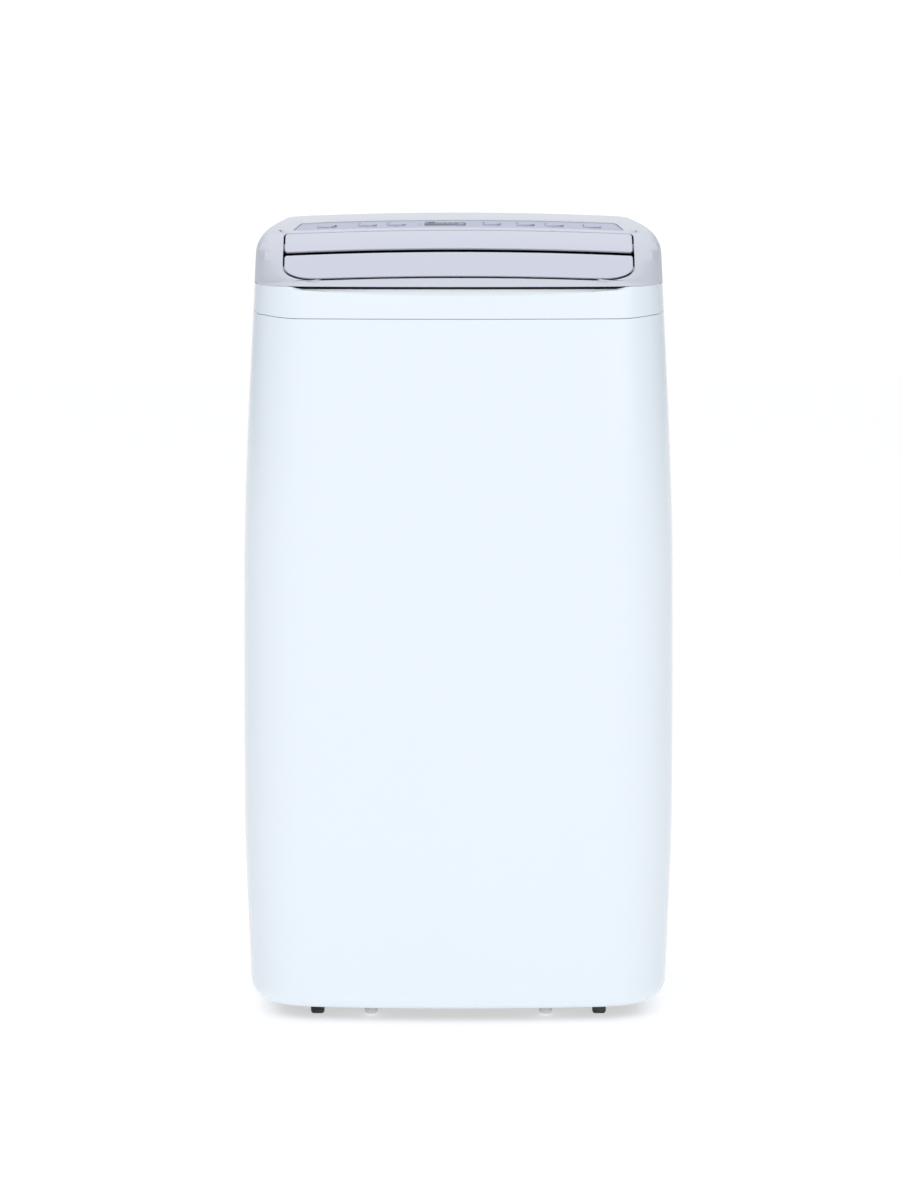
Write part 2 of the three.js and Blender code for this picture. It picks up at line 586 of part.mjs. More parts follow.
function makeMotor(s, radius, length) {
  const y1 = s.y0 - 0.4;
  return join(cyl('y', radius, y1 - length, y1 - 4, [s.x, s.z], 20),
    box(s.x - radius - 8, s.x + radius + 8, y1 - 6, y1, s.z - 10, s.z + 10))
    .subtract(cyl('y', 4.6, y1 - 14, y1 + 5, [s.x, s.z], 10));
}

const UPPER_FAN = { x: 0, z: 570, r: 84, grow: 22, y0: -118, y1: -42, top: 681, wheel: 74, inlet: 62 };
const LOWER_FAN = { x: 70, z: 180, r: 78, grow: 22, y0: -48, y1: 22, top: 296, wheel: 70, inlet: 58 };

function makeExhaustDuct() {
  const outer = box(-10, 182, -48, 22, 299, 450).add(box(-84, 182, 15, 175, 299, 450));
  const inner = box(-7.5, 179.5, -45.5, 30, 290, 447.5).add(box(-81.5, 179.5, 17.5, 180, 301.5, 447.5));
  return cut(outer, inner);
}

function makePartition() {
  return box(-196, 196, -150, 160, 458, 466).subtract(box(-190, 190, 60, 154, 461, 480))
    .add(box(-196, 196, 56, 60, 460, 474));
}

// ---- Assembly -------------------------------------------------------------------------------
const air = new THREE.Group();
air.position.y = -COLLAR.out / 2;

const LOOKS = {
  white: [0xf2f6fa, 0.35, 0], cover: [0xd9dee8, 0.45, 0], louvre: [0xd6dae4, 0.4, 0],
  strip: [0xc2c8dc, 0.35, 0], key: [0xccd2e2, 0.4, 0], window: [0x7d8492, 0.15, 0],
  dark: [0x1b1c1f, 0.6, 0], tray: [0x3a3d42, 0.7, 0], tyre: [0x151515, 0.8, 0],
  glide: [0xe8ecf0, 0.3, 0], steel: [0x8b8f94, 0.4, 0.8], black: [0x101113, 0.5, 0.2],
  fins: [0xb9c0c6, 0.35, 0.9], copper: [0xb4693c, 0.3, 0.9], mesh: [0x5f666e, 0.8, 0],
  grille: [0xe6eaef, 0.45, 0], rubber: [0x222326, 0.9, 0],
};

function addPart(name, solid, look) {
  const [color, roughness, metalness] = LOOKS[look];
  const material = new THREE.MeshStandardMaterial({ color, roughness, metalness });
  const mesh = new THREE.Mesh(toGeometry(solid), material);
  mesh.name = name;
  air.add(mesh);
}

addPart('front_panel', makeFrontPanel(), 'white');
addPart('left_panel', makeSidePanel(-1), 'white');
addPart('right_panel', makeSidePanel(1), 'white');
addPart('back_panel', makeBackPanel(), 'white');
addPart('top_cover', makeTopCover(), 'cover');
addPart('control_fascia', makeFascia(), 'strip');
addPart('display_window', makeDisplay(), 'window');
BUTTON_X.forEach((x, i) => addPart(`button_${i + 1}`, makeButton(x), 'key'));
addPart('outlet_duct', makeDuct(), 'dark');
addPart('louvre_upper', makeLouvre('upper'), 'louvre');
addPart('louvre_lower', makeLouvre('lower'), 'louvre');
addPart('louvre_link', makeLouvreLink(), 'dark');
addPart('louvre_motor', makeLouvreMotor(), 'steel');
FIN_X.forEach((x, i) => addPart(`swing_fin_${i + 1}`, makeFin(x), 'dark'));
addPart('fin_link', makeFinLink(), 'dark');
addPart('intake_grille_upper', makeGrille(UPPER_GRILLE, 10), 'grille');
addPart('intake_grille_lower', makeGrille(LOWER_GRILLE, 9), 'grille');
addPart('filter_upper', makeFilter(UPPER_GRILLE), 'mesh');
addPart('filter_lower', makeFilter(LOWER_GRILLE), 'mesh');
addPart('exhaust_collar', makeCollar(), 'tray');
addPart('drain_spout_upper', makeSpout(128, 330), 'grille');
addPart('drain_spout_lower', makeSpout(-128, 55), 'grille');
addPart('drain_plug_upper', makePlug(128, 330), 'rubber');
addPart('drain_plug_lower', makePlug(-128, 55), 'rubber');
addPart('cord_inlet', makeCordInlet(), 'rubber');
addPart('handle_left', makeHandle(-1), 'cover');
addPart('handle_right', makeHandle(1), 'cover');
addPart('base_tray', makeBase(), 'tray');
CASTERS.forEach((c) => addPart(`caster_fork_${c.name}`, makeFork(c), 'dark'));
CASTERS.forEach((c) => addPart(`caster_wheel_${c.name}`, makeWheel(c), 'tyre'));
addPart('glide_left', makeGlide(-1), 'glide');
addPart('glide_right', makeGlide(1), 'glide');
addPart('compressor', makeCompressor(), 'black');
addPart('compressor_mount', makeCompressorMount(), 'steel');
addPart('condenser_coil', makeCoil(170, 95, 128, 64, 275, 13), 'fins');
addPart('evaporator_coil', makeCoil(168, 90, 124, 480, 650, 13), 'fins');
addPart('upper_fan_housing', makeHousing(UPPER_FAN), 'tray');
addPart('upper_fan_wheel', makeFanWheel(UPPER_FAN), 'dark');
addPart('upper_fan_motor', makeMotor(UPPER_FAN, 40, 42), 'steel');
addPart('lower_fan_housing', makeHousing(LOWER_FAN), 'tray');
addPart('lower_fan_wheel', makeFanWheel(LOWER_FAN), 'dark');
addPart('lower_fan_motor', makeMotor(LOWER_FAN, 42, 48), 'steel');
addPart('exhaust_duct', makeExhaustDuct(), 'tray');
addPart('partition_tray', makePartition(), 'tray');

export default air;
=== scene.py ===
"""Portable air conditioner: the detailed surfaces, finishes, studio and camera."""
import json
import logging
import math
from dataclasses import dataclass, field
from enum import Enum
from typing import Callable, Optional, Sequence

import bmesh
import bpy
import numpy as np
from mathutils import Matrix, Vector


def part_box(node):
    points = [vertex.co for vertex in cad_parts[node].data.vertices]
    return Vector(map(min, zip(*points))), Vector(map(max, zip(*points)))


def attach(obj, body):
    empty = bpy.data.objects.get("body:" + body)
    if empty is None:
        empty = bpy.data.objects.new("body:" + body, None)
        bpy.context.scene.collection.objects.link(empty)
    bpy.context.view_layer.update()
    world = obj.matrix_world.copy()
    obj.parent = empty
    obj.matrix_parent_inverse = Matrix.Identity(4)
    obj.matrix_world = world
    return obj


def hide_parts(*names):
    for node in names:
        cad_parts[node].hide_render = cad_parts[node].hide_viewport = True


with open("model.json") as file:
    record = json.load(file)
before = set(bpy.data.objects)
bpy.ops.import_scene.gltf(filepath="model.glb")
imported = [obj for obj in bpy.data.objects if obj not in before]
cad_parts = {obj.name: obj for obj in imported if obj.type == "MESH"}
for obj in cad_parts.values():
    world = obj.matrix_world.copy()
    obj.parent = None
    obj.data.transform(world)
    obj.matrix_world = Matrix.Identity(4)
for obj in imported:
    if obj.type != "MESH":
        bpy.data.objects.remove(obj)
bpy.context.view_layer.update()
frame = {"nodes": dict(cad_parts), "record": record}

LOG = logging.getLogger("air_conditioner")
MM = 0.001
Array = np.ndarray
RGB = tuple[float, float, float]

# The model is drawn in millimetres about the cabinet's own middle; the frame sets it off in Y.
SHIFT_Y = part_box("front_panel")[0][1] / MM + 185.0


# ---- Numbers --------------------------------------------------------------------------------
def smoothstep(value: Array, low: float, high: float) -> Array:
    """Ease from 0 to 1 as the value goes from low to high: 3k^2 - 2k^3."""
    k = np.clip((value - low) / (high - low), 0.0, 1.0)
    return k * k * (3.0 - 2.0 * k)


def soft_max(a: Array, b: Array, blend: float) -> Array:
    """Larger of two distances, with a fillet where they are within `blend` of each other."""
    h = np.maximum(blend - np.abs(a - b), 0.0) / blend
    return np.maximum(a, b) + h * h * blend * 0.25


def bezier(points: Sequence[Sequence[float]], count: int) -> Array:
    """Sample a quadratic or cubic Bezier curve, leaving out its last point.

    Args:
        points: three or four control points.
        count: number of samples.

    Returns:
        Array (count, 2): the Bernstein sum of the control points.
    """
    p = np.asarray(points, float)
    t = np.linspace(0.0, 1.0, count, endpoint=False)[:, None]
    n = len(p) - 1
    return sum(math.comb(n, k) * (1 - t) ** (n - k) * t ** k * p[k] for k in range(n + 1))


def along(path: Array, where: Array, closed: bool = True) -> Array:
    """Points at given fractions of a polyline's length.

    Args:
        path: corner points (n, d).
        where: fractions from 0 to 1.
        closed: join the last point to the first.

    Returns:
        Array (len(where), d), linear between the path's points.
    """
    loop = np.vstack([path, path[:1]]) if closed else path
    run = np.concatenate([[0.0], np.cumsum(np.linalg.norm(np.diff(loop, axis=0), axis=1))])
    at = np.clip(where, 0.0, 1.0) * run[-1]
    return np.stack([np.interp(at, run, loop[:, k]) for k in range(loop.shape[1])], axis=1)


def rounded_box(half_u: float, half_v: float, radius: float, per_corner: int = 8) -> Array:
    """Rounded rectangle about the origin, anticlockwise from the middle of its lower left corner.

    The corner arcs are quarter circles; the straight sides are the gaps between them.
    """
    q = np.linspace(0.0, math.pi / 2, per_corner)
    corners = []
    for k, (su, sv) in enumerate([(-1, -1), (1, -1), (1, 1), (-1, 1)]):
        a = q + math.pi + k * math.pi / 2
        corners.append(np.stack([su * (half_u - radius) + radius * np.cos(a),
                                 sv * (half_v - radius) + radius * np.sin(a)], axis=1))
    path = np.vstack(corners)
    return np.roll(path, -(per_corner // 2), axis=0)


# ---- Meshes ---------------------------------------------------------------------------------
@dataclass
class Surface:
    """Points and faces gathered patch by patch, in cabinet millimetres."""

    points: list = field(default_factory=list)
    faces: list = field(default_factory=list)
    size: int = 0

    def add(self, points: Array) -> Array:
        """Add points of any grid shape and return their indices in that shape."""
        flat = np.asarray(points, float).reshape(-1, 3)
        index = np.arange(self.size, self.size + len(flat)).reshape(np.shape(points)[:-1])
        self.points.append(flat)
        self.size += len(flat)
        return index

    def quads(self, index: Array, wrap_u: bool = False, wrap_v: bool = False,
              keep: Optional[Array] = None) -> None:
        """Join a grid of indices (u, v) with four-sided faces.

        Args:
            index: indices, u along the first axis and v along the second.
            wrap_u: close the grid along u.
            wrap_v: close the grid along v.
            keep: cells to make, as a mask of the cell grid.
        """
        if wrap_u:
            index = np.vstack([index, index[:1]])
        if wrap_v:
            index = np.hstack([index, index[:, :1]])
        cells = np.stack([index[:-1, :-1], index[1:, :-1], index[1:, 1:], index[:-1, 1:]], axis=-1)
        picked = cells[keep] if keep is not None else cells.reshape(-1, 4)
        self.faces.extend(picked.tolist())

    def rings(self, rings: Sequence[Array]) -> None:
        """Join closed rings of equal length, each anticlockwise seen from outside, going inwards."""
        self.quads(np.stack(rings, axis=1), wrap_u=True)

    def close(self, ring: Array, centre: Array) -> None:
        """Close a ring with a fan to one centre point."""
        middle = int(self.add(np.asarray(centre, float)[None, :])[0])
        nxt = np.roll(ring, -1)
        self.faces.extend([[int(a), int(b), middle] for a, b in zip(ring, nxt)])

    def solid_rings(self, grid: Array, first: bool = True, last: bool = True) -> None:
        """Loft rings (k, n, 3) into a closed solid with fans at its ends."""
        index = self.add(grid)
        self.rings(list(index))
        if last:
            self.close(index[-1], grid[-1].mean(axis=0))
        if first:
            self.close(index[0][::-1], grid[0].mean(axis=0))

    def torus(self, grid: Array) -> None:
        """Join a grid (k, n, 3) that closes on itself both ways."""
        self.quads(self.add(grid), wrap_u=True, wrap_v=True)

    def build(self, name: str, closed: bool, crease: float = 40.0) -> bpy.types.Object:
        """Make the Blender object, in metres and in the frame's place.

        Args:
            name: name of the piece.
            closed: the surface is a closed solid, so its outside is found from its volume.
            crease: angle in degrees past which an edge stays sharp.

        Returns:
            The new object, linked to the scene.
        """
        points = (np.vstack(self.points) + [0.0, SHIFT_Y, 0.0]) * MM
        mesh = bpy.data.meshes.new(name)
        mesh.from_pydata(points.tolist(), [], self.faces)
        bm = bmesh.new()
        bm.from_mesh(mesh)
        bmesh.ops.remove_doubles(bm, verts=bm.verts, dist=2e-6)
        if closed:
            bmesh.ops.recalc_face_normals(bm, faces=bm.faces)
        bm.to_mesh(mesh)
        bm.free()
        mesh.shade_smooth()
        mesh.set_sharp_from_angle(angle=math.radians(crease))
        piece = bpy.data.objects.new(name, mesh)
        bpy.context.scene.collection.objects.link(piece)
        return piece


def lathe(profile: Array, centre: Sequence[float], axis: str, count: int) -> Array:
    """Turn a profile about an axis: radius times the circle, plus the distance along the axis.

    Args:
        profile: rows of (radius, distance along the axis).
        centre: the point of the axis where the distance is 0.
        axis: "x", "y" or "z".
        count: points around.

    Returns:
        Grid (len(profile), count, 3).
    """
    a = np.linspace(0.0, 2 * math.pi, count, endpoint=False)
    r, h = np.asarray(profile, float).T
    c, s = np.outer(r, np.cos(a)), np.outer(r, np.sin(a))
    h = np.broadcast_to(h[:, None], c.shape)
    order = {"x": (h, c, s), "y": (s, h, c), "z": (c, s, h)}[axis]
    return np.stack(order, axis=-1) + np.asarray(centre, float)


def turned_ring(name: str, profile: Array, centre: Sequence[float], axis: str, count: int,
                crease: float = 35.0) -> bpy.types.Object:
    """Build a piece by turning a closed profile about an axis."""
    surface = Surface()
    surface.torus(lathe(profile, centre, axis, count))
    return surface.build(name, True, crease)


def thicken(piece: bpy.types.Object, thickness: float) -> None:
    """Give a sheet a wall, growing inwards from its outer face."""
    wall = piece.modifiers.new("Wall", "SOLIDIFY")
    wall.thickness = thickness * MM
    wall.offset = -1.0
    wall.use_even_offset = False


def ease_edges(piece: bpy.types.Object, width: float, segments: int = 2, angle: float = 40.0,
               clamp: bool = False) -> None:
    """Round the sharp edges of a piece, with widths held to the smallest cell where `clamp` is set."""
    bevel = piece.modifiers.new("Edges", "BEVEL")
    bevel.width = width * MM
    bevel.segments = segments
    bevel.limit_method = "ANGLE"
    bevel.angle_limit = math.radians(angle)
    bevel.use_clamp_overlap = clamp
    bevel.harden_normals = True


# ---- Shader graph ---------------------------------------------------------------------------
class Value:
    """A number socket that can be used in Python expressions."""

    def __init__(self, graph: "Graph", socket: bpy.types.NodeSocket) -> None:
        """Wrap one output socket of a graph."""
        self.graph = graph
        self.socket = socket

    def _join(self, operation: str, a: object, b: object) -> "Value":
        """Add one Math node."""
        node = self.graph.node("ShaderNodeMath", {"operation": operation}, {0: a, 1: b})
        return Value(self.graph, node.outputs[0])

    @staticmethod
    def _method(operation: str, swapped: bool = False) -> Callable[["Value", object], "Value"]:
        """Method that joins this value with another, which comes first where `swapped` is set."""
        def join(self: "Value", other: object) -> "Value":
            """Add the node."""
            return self._join(operation, other, self) if swapped else self._join(operation, self, other)
        return join

    __add__, __radd__ = _method("ADD"), _method("ADD", True)
    __sub__, __rsub__ = _method("SUBTRACT"), _method("SUBTRACT", True)
    __mul__, __rmul__ = _method("MULTIPLY"), _method("MULTIPLY", True)
    largest = _method("MAXIMUM")


class Graph:
    """The node tree of one material."""

    def __init__(self, name: str) -> None:
        """Start a material with a Principled shader."""
        self.material = bpy.data.materials.new(name)
        self.material.use_nodes = True
        self.tree = self.material.node_tree
        self.shader = next(n for n in self.tree.nodes if n.type == "BSDF_PRINCIPLED")

    def node(self, kind: str, settings: Optional[dict] = None,
             inputs: Optional[dict] = None) -> bpy.types.Node:
        """Add a node.

        Args:
            kind: node type.
            settings: properties, set first.
            inputs: values or links of sockets, by index or name.

        Returns:
            The node.
        """
        made = self.tree.nodes.new(kind)
        for key, value in (settings or {}).items():
            setattr(made, key, value)
        for key, value in (inputs or {}).items():
            self.feed(made.inputs[key], value)
        return made

    def feed(self, socket: bpy.types.NodeSocket, value: object) -> None:
        """Link a value or socket into a socket, or set its default."""
        if isinstance(value, Value):
            self.tree.links.new(value.socket, socket)
        elif isinstance(value, bpy.types.NodeSocket):
            self.tree.links.new(value, socket)
        else:
            socket.default_value = value

    def place(self, scale: Sequence[float] = (1.0, 1.0, 1.0)) -> bpy.types.NodeSocket:
        """Object coordinates, stretched."""
        coords = self.node("ShaderNodeTexCoord")
        mapping = self.node("ShaderNodeMapping", None, {"Vector": coords.outputs["Object"], "Scale": scale})
        return mapping.outputs[0]

    def noise(self, scale: float, detail: float = 3.0, stretch: Sequence[float] = (1.0, 1.0, 1.0)) -> Value:
        """Noise from 0 to 1 on object coordinates."""
        made = self.node("ShaderNodeTexNoise", None,
                         {"Vector": self.place(stretch), "Scale": scale, "Detail": detail})
        return Value(self, made.outputs[0])

    def blend(self, amount: object, a: RGB, b: RGB) -> bpy.types.NodeSocket:
        """Mix two colours by an amount."""
        made = self.node("ShaderNodeMix", {"data_type": "RGBA"})
        self.feed(made.inputs[0], amount)
        for slot, colour in ((6, a), (7, b)):
            self.feed(made.inputs[slot], (*colour, 1.0) if isinstance(colour, tuple) else colour)
        return made.outputs[2]

    def bump(self, height: Value, distance: float, strength: float = 1.0,
             over: Optional[bpy.types.NodeSocket] = None) -> bpy.types.NodeSocket:
        """Turn a height into a normal, on top of another normal if one is given."""
        inputs: dict = {"Height": height, "Distance": distance, "Strength": strength}
        if over is not None:
            inputs["Normal"] = over
        return self.node("ShaderNodeBump", None, inputs).outputs[0]

    def finish(self, **sockets: object) -> bpy.types.Material:
        """Set the Principled shader's sockets and return the material."""
        for key, value in sockets.items():
            self.feed(self.shader.inputs[key.replace("_", " ")], value)
        return self.material


def tone(colour: RGB, gain: float) -> RGB:
    """A colour made lighter or darker."""
    return tuple(min(1.0, c * gain) for c in colour)


@dataclass(frozen=True)
class MouldedPlastic:
    """Injection-moulded plastic: soft flow marks, orange peel, a fine grain, a little handling wear."""

    name: str
    colour: RGB
    roughness: float
    peel: float = 0.00004
    grain: float = 0.000012
    grain_scale: float = 1500.0
    coat: float = 0.0
    spread: float = 0.02
    subsurface: float = 0.0

    def make(self) -> bpy.types.Material:
        """Build the material."""
        g = Graph(self.name)
        flow = g.noise(3.2, 4.0, (1.0, 1.0, 0.6))
        specks = g.noise(420.0, 2.0)
        colour = g.blend(flow, tone(self.colour, 1.0 - self.spread),
                         tone(self.colour, 1.0 + self.spread * 0.6))
        rub = g.noise(26.0, 5.0, (1.0, 1.0, 0.35))
        rough = self.roughness + (rub - 0.5) * 0.12 + (specks - 0.5) * 0.06
        normal = g.bump(g.noise(130.0, 2.0), self.peel)
        normal = g.bump(g.noise(self.grain_scale, 2.0), self.grain, 1.0, normal)
        return g.finish(Base_Color=colour, Roughness=rough, Normal=normal, Coat_Weight=self.coat,
                        Coat_Roughness=0.12, IOR=1.49, Subsurface_Weight=self.subsurface)


@dataclass(frozen=True)
class MatteRubber:
    """Rubber with patches of mould bloom and dust, placed by noise."""

    name: str
    colour: RGB
    dust: float = 0.25

    def make(self) -> bpy.types.Material:
        """Build the material."""
        g = Graph(self.name)
        bloom = g.noise(60.0, 5.0)
        mask = (bloom - 0.45).largest(0.0) * (self.dust * 4.0)
        colour = g.blend(mask, self.colour, (0.22, 0.21, 0.20))
        normal = g.bump(g.noise(700.0, 3.0), 0.00004)
        return g.finish(Base_Color=colour, Roughness=0.72 + mask * 0.4, Normal=normal)


@dataclass(frozen=True)
class Metal:
    """Bare or plated metal with a drawn grain along one direction."""

    name: str
    colour: RGB
    roughness: float
    stretch: tuple[float, float, float] = (1.0, 1.0, 14.0)
    metallic: float = 1.0

    def make(self) -> bpy.types.Material:
        """Build the material."""
        g = Graph(self.name)
        drawn = g.noise(180.0, 4.0, self.stretch)
        patch = g.noise(14.0, 4.0)
        colour = g.blend(drawn, tone(self.colour, 0.86), tone(self.colour, 1.08))
        rough = self.roughness + (drawn - 0.5) * 0.2 + (patch - 0.5) * 0.16
        return g.finish(Base_Color=colour, Roughness=rough, Metallic=self.metallic,
                        Normal=g.bump(drawn, 0.00002))


@dataclass(frozen=True)
class WovenMesh:
    """Filter net: two crossed sets of threads, with the holes between them painted dark as the shade seen
    through them.
    """

    name: str
    colour: RGB
    pitch: float = 0.0016

    def make(self) -> bpy.types.Material:
        """Build the material."""
        g = Graph(self.name)
        rate = math.pi / self.pitch
        threads = []
        for direction in ("X", "Z"):
            wave = g.node("ShaderNodeTexWave", {"wave_type": "BANDS", "bands_direction": direction,
                                                "wave_profile": "SIN"},
                          {"Vector": g.place(), "Scale": rate / 10.0})
            threads.append(Value(g, wave.outputs["Fac"]))
        height = threads[0].largest(threads[1])
        lint = g.noise(40.0, 5.0)
        # Painted shade: the holes between the threads are darkened in colour.
        colour = g.blend(height, tone(self.colour, 0.25), self.colour)
        return g.finish(Base_Color=colour, Roughness=0.7 + (lint - 0.5) * 0.3,
                        Normal=g.bump(height, 0.0002))


@dataclass(frozen=True)
class CoilFins:
    """Edge-on aluminium fins: fine upright lines with bent patches, the gaps between the fins painted dark as
    shade.
    """

    name: str
    colour: RGB

    def make(self) -> bpy.types.Material:
        """Build the material."""
        g = Graph(self.name)
        wave = g.node("ShaderNodeTexWave", {"wave_type": "BANDS", "bands_direction": "X"},
                      {"Vector": g.place(), "Scale": 170.0, "Distortion": 0.6})
        lines = Value(g, wave.outputs["Fac"])
        # Painted shade: the dark bands stand for the shaded gaps between the fins.
        colour = g.blend(lines, tone(self.colour, 0.35), self.colour)
        return g.finish(Base_Color=colour, Metallic=0.9, Roughness=0.34 + (g.noise(30.0) - 0.5) * 0.3,
                        Normal=g.bump(lines, 0.0003))


class Finish(Enum):
    """Every finish of the object, by the record's material slot; the sign ink has none there."""

    SHELL = "shell_white"
    COVER = "cover_grey"
    LOUVRE = "louvre_grey"
    STRIP = "strip_lilac"
    KEY = "key_lilac"
    SIGN = "sign_ink"
    DISPLAY = "display"
    DUCT = "duct_black"
    GRILLE = "grille_white"
    FILTER = "filter_mesh"
    TRAY = "tray_grey"
    CASTER = "caster_black"
    TYRE = "tyre_black"
    GLIDE = "glide_clear"
    RUBBER = "rubber_grey"
    STEEL = "steel"
    COMPRESSOR = "compressor_black"
    COIL = "coil_fins"
    MOTOR = "motor_case"


RECIPES = {
    Finish.SHELL: MouldedPlastic("Gloss white shell", (0.815, 0.885, 0.94), 0.24, 0.00003, 0.000004,
                                 coat=0.25, spread=0.012),
    # The cover's grey is partly its own pale tint and partly painted shade, darkening the top's upward faces.
    Finish.COVER: MouldedPlastic("Satin pale grey cover, partly painted shade", (0.615, 0.645, 0.72), 0.42, 0.00002, 0.00002),
    Finish.LOUVRE: MouldedPlastic("Satin pale grey louvre", (0.615, 0.64, 0.74), 0.38, 0.00002, 0.00002),
    Finish.STRIP: MouldedPlastic("Lilac control film", (0.42, 0.445, 0.59), 0.36, 0.00001, 0.000016, 2400.0),
    Finish.KEY: MouldedPlastic("Lilac key cap", (0.44, 0.465, 0.61), 0.4, 0.00001, 0.00002),
    Finish.SIGN: MouldedPlastic("Faint sign ink", (0.27, 0.29, 0.40), 0.5, 0.000008, 0.0),
    Finish.DISPLAY: MouldedPlastic("Smoked display lens", (0.15, 0.165, 0.21), 0.5, 0.000008, 0.0),
    Finish.DUCT: MouldedPlastic("Matt black duct", (0.012, 0.012, 0.014), 0.62, 0.00004, 0.00003),
    Finish.GRILLE: MouldedPlastic("Satin white grille", (0.77, 0.80, 0.85), 0.4, 0.00003, 0.000016),
    Finish.FILTER: WovenMesh("Filter net", (0.10, 0.115, 0.13)),
    Finish.TRAY: MouldedPlastic("Matt dark grey moulding", (0.035, 0.037, 0.042), 0.6, 0.00004, 0.00003),
    Finish.CASTER: MouldedPlastic("Black nylon", (0.014, 0.014, 0.015), 0.45, 0.00004, 0.00002),
    Finish.TYRE: MatteRubber("Tyre rubber", (0.010, 0.010, 0.011)),
    Finish.GLIDE: MouldedPlastic("Milky glide", (0.72, 0.76, 0.80), 0.3, 0.00003, 0.0, subsurface=0.2),
    Finish.RUBBER: MatteRubber("Stopper rubber", (0.018, 0.018, 0.020), 0.15),
    Finish.STEEL: Metal("Zinc plate", (0.52, 0.53, 0.55), 0.35),
    Finish.COMPRESSOR: MouldedPlastic("Black baked paint", (0.010, 0.010, 0.012), 0.3, 0.00008, 0.00001,
                                      coat=0.3),
    Finish.COIL: CoilFins("Bare fins", (0.66, 0.68, 0.70)),
    Finish.MOTOR: Metal("Cast motor case", (0.24, 0.25, 0.26), 0.5, (1.0, 1.0, 1.0), 0.6),
}


class Wardrobe:
    """Makes each finish once and dresses pieces and carried-over solids with it."""

    def __init__(self) -> None:
        """Start with no material made."""
        self.made: dict[Finish, bpy.types.Material] = {}

    def get(self, finish: Finish) -> bpy.types.Material:
        """The material of a finish."""
        if finish not in self.made:
            self.made[finish] = RECIPES[finish].make()
        return self.made[finish]

    def dress(self, piece: bpy.types.Object, body: str, finish: Finish, *nodes: str) -> bpy.types.Object:
        """Finish a new piece, put it on its body and hide the solids it stands for."""
        piece.data.materials.clear()
        piece.data.materials.append(self.get(finish))
        if nodes:
            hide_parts(*nodes)
        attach(piece, body)
        LOG.info("piece %s: %d faces, on %s", piece.name, len(piece.data.polygons), body)
        return piece

    def carry(self, node: str, finish: Finish, bevel: float = 0.0) -> None:
        """Give a carried-over solid its finish, and optionally round its edges."""
        piece = frame["nodes"][node]
        if not piece.material_slots:
            piece.data.materials.append(self.get(finish))
        for slot in piece.material_slots:
            slot.link = "OBJECT"
            slot.material = self.get(finish)
        if bevel > 0.0:
            ease_edges(piece, bevel, 2, 35.0, True)
        LOG.info("solid %s: %s", node, finish.value)


